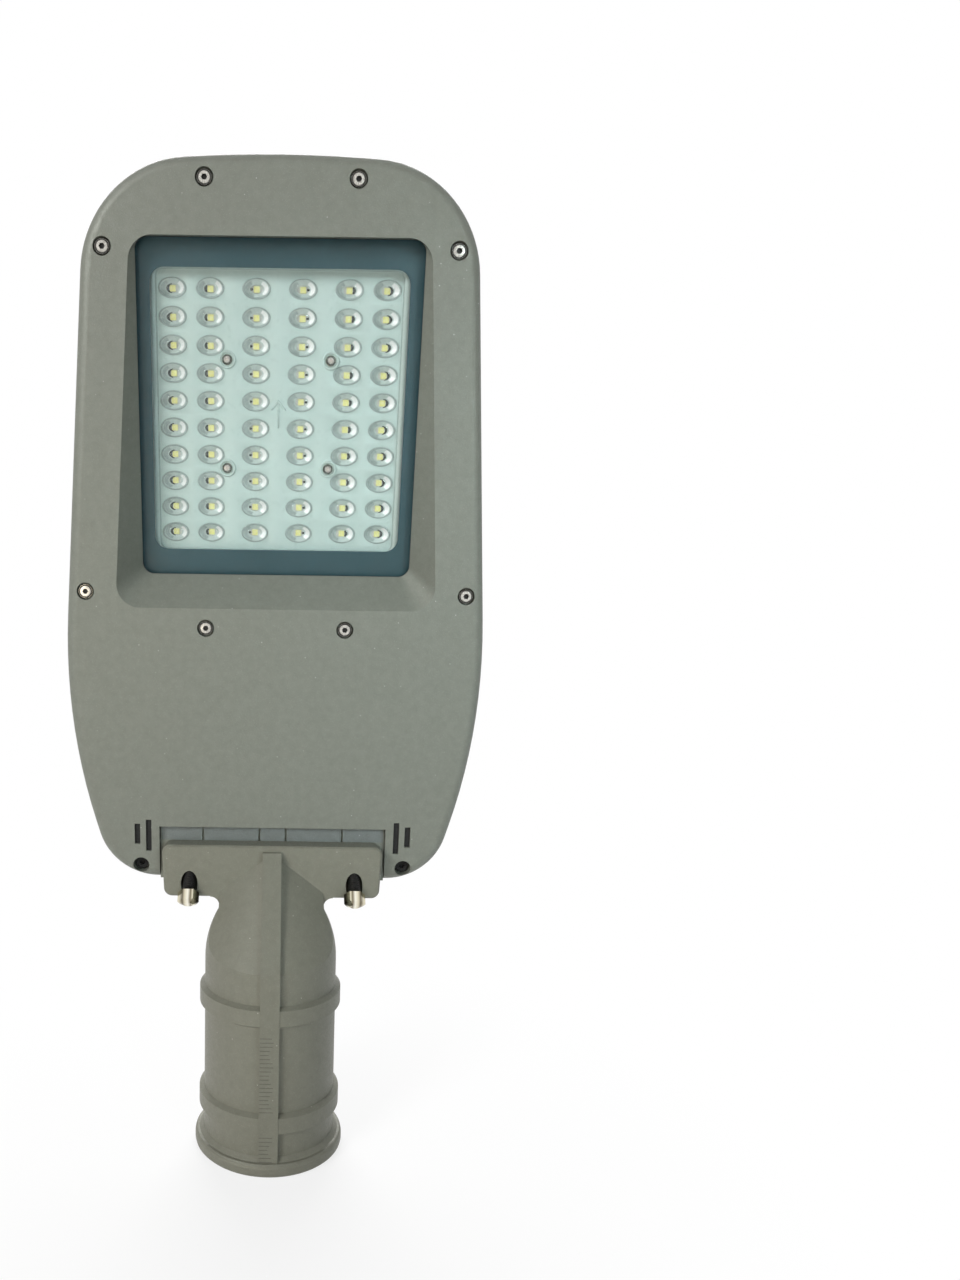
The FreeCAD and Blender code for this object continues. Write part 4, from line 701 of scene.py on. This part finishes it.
def seen_directly(tree):
    """One for rays from the camera, from mirroring surfaces and through glass."""
    path = tree.nodes.new("ShaderNodeLightPath")
    total = path.outputs["Is Camera Ray"]
    for name in ("Is Glossy Ray", "Is Transmission Ray"):
        total = calculate(tree, "MAXIMUM", total, path.outputs[name])
    return total


def build_floor():
    """White floor that keeps a soft shadow near the lamp."""
    material, tree, shader = make_material("floor_white")
    shader.inputs["Base Color"].default_value = grey(FLOOR_GREY)
    shader.inputs["Roughness"].default_value = FLOOR_ROUGHNESS
    blank = add(tree, "ShaderNodeEmission", Color=grey(1.0), Strength=1.0)
    length = tree.nodes.new("ShaderNodeVectorMath")
    length.operation = "LENGTH"
    tree.links.new(coordinates(tree), length.inputs[0])
    far = spread(tree, length.outputs["Value"], SHADOW_NEAR, SHADOW_FAR, SHADOW_FADE, 1.0)
    mix = tree.nodes.new("ShaderNodeMixShader")
    tree.links.new(calculate(tree, "MULTIPLY", far, seen_directly(tree)), mix.inputs["Fac"])
    tree.links.new(shader.outputs["BSDF"], mix.inputs[1])
    tree.links.new(blank.outputs["Emission"], mix.inputs[2])
    tree.links.new(mix.outputs["Shader"], tree.nodes["Material Output"].inputs["Surface"])
    bpy.ops.mesh.primitive_plane_add(size=FLOOR_SIZE, location=(0.0, 0.0, -FLOOR_DROP))
    floor = bpy.context.object
    floor.name = "floor"
    floor.data.materials.append(material)


def build_world():
    """White surroundings that are seen in full and give only a little light."""
    world = bpy.data.worlds.new("studio")
    bpy.context.scene.world = world
    world.use_nodes = True
    tree = world.node_tree
    ground = tree.nodes["Background"]
    ground.inputs["Color"].default_value = grey(1.0)
    strength = spread(tree, seen_directly(tree), 0.0, 1.0, WORLD_LIGHT, 1.0)
    tree.links.new(strength, ground.inputs["Strength"])


def area_lamp(name, place, target, size, power, colour, fan):
    """Rectangular lamp that shines at a point, with its light fanned out over an angle."""
    data = bpy.data.lights.new(name, "AREA")
    data.shape = "RECTANGLE"
    data.size, data.size_y = size
    data.energy = power
    data.color = colour
    data.spread = math.radians(fan)
    lamp = bpy.data.objects.new(name, data)
    lamp.location = place
    lamp.rotation_euler = (Vector(target) - Vector(place)).to_track_quat("-Z", "Y").to_euler()
    bpy.context.scene.collection.objects.link(lamp)


def build_camera():
    """Camera at the photograph's angle."""
    data = bpy.data.cameras.new("camera")
    data.sensor_width = SENSOR
    data.lens = SENSOR * FOCAL / IMAGE_HEIGHT
    data.shift_x = (IMAGE_WIDTH / 2 - PRINCIPAL_X) / IMAGE_HEIGHT
    data.shift_y = (PRINCIPAL_Y - IMAGE_HEIGHT / 2) / IMAGE_HEIGHT
    data.clip_start = CLIP_START
    camera = bpy.data.objects.new("camera", data)
    pitch, roll = math.radians(90.0 - CAMERA_DIP), math.radians(CAMERA_ROLL)
    turn = Matrix.Rotation(pitch, 4, "X") @ Matrix.Rotation(roll, 4, "Z")
    camera.matrix_world = Matrix.Translation(CAMERA_PLACE) @ turn
    bpy.context.scene.collection.objects.link(camera)
    bpy.context.scene.camera = camera


build_print()
build_lens_plate()
build_screw_tops()
build_ticks()
build_vent_shades()
build_seat_strip()
build_threads()
build_floor()
build_world()
for lamp_values in LAMPS:
    area_lamp(*lamp_values)
build_camera()
bpy.context.scene.view_settings.view_transform = "Standard"
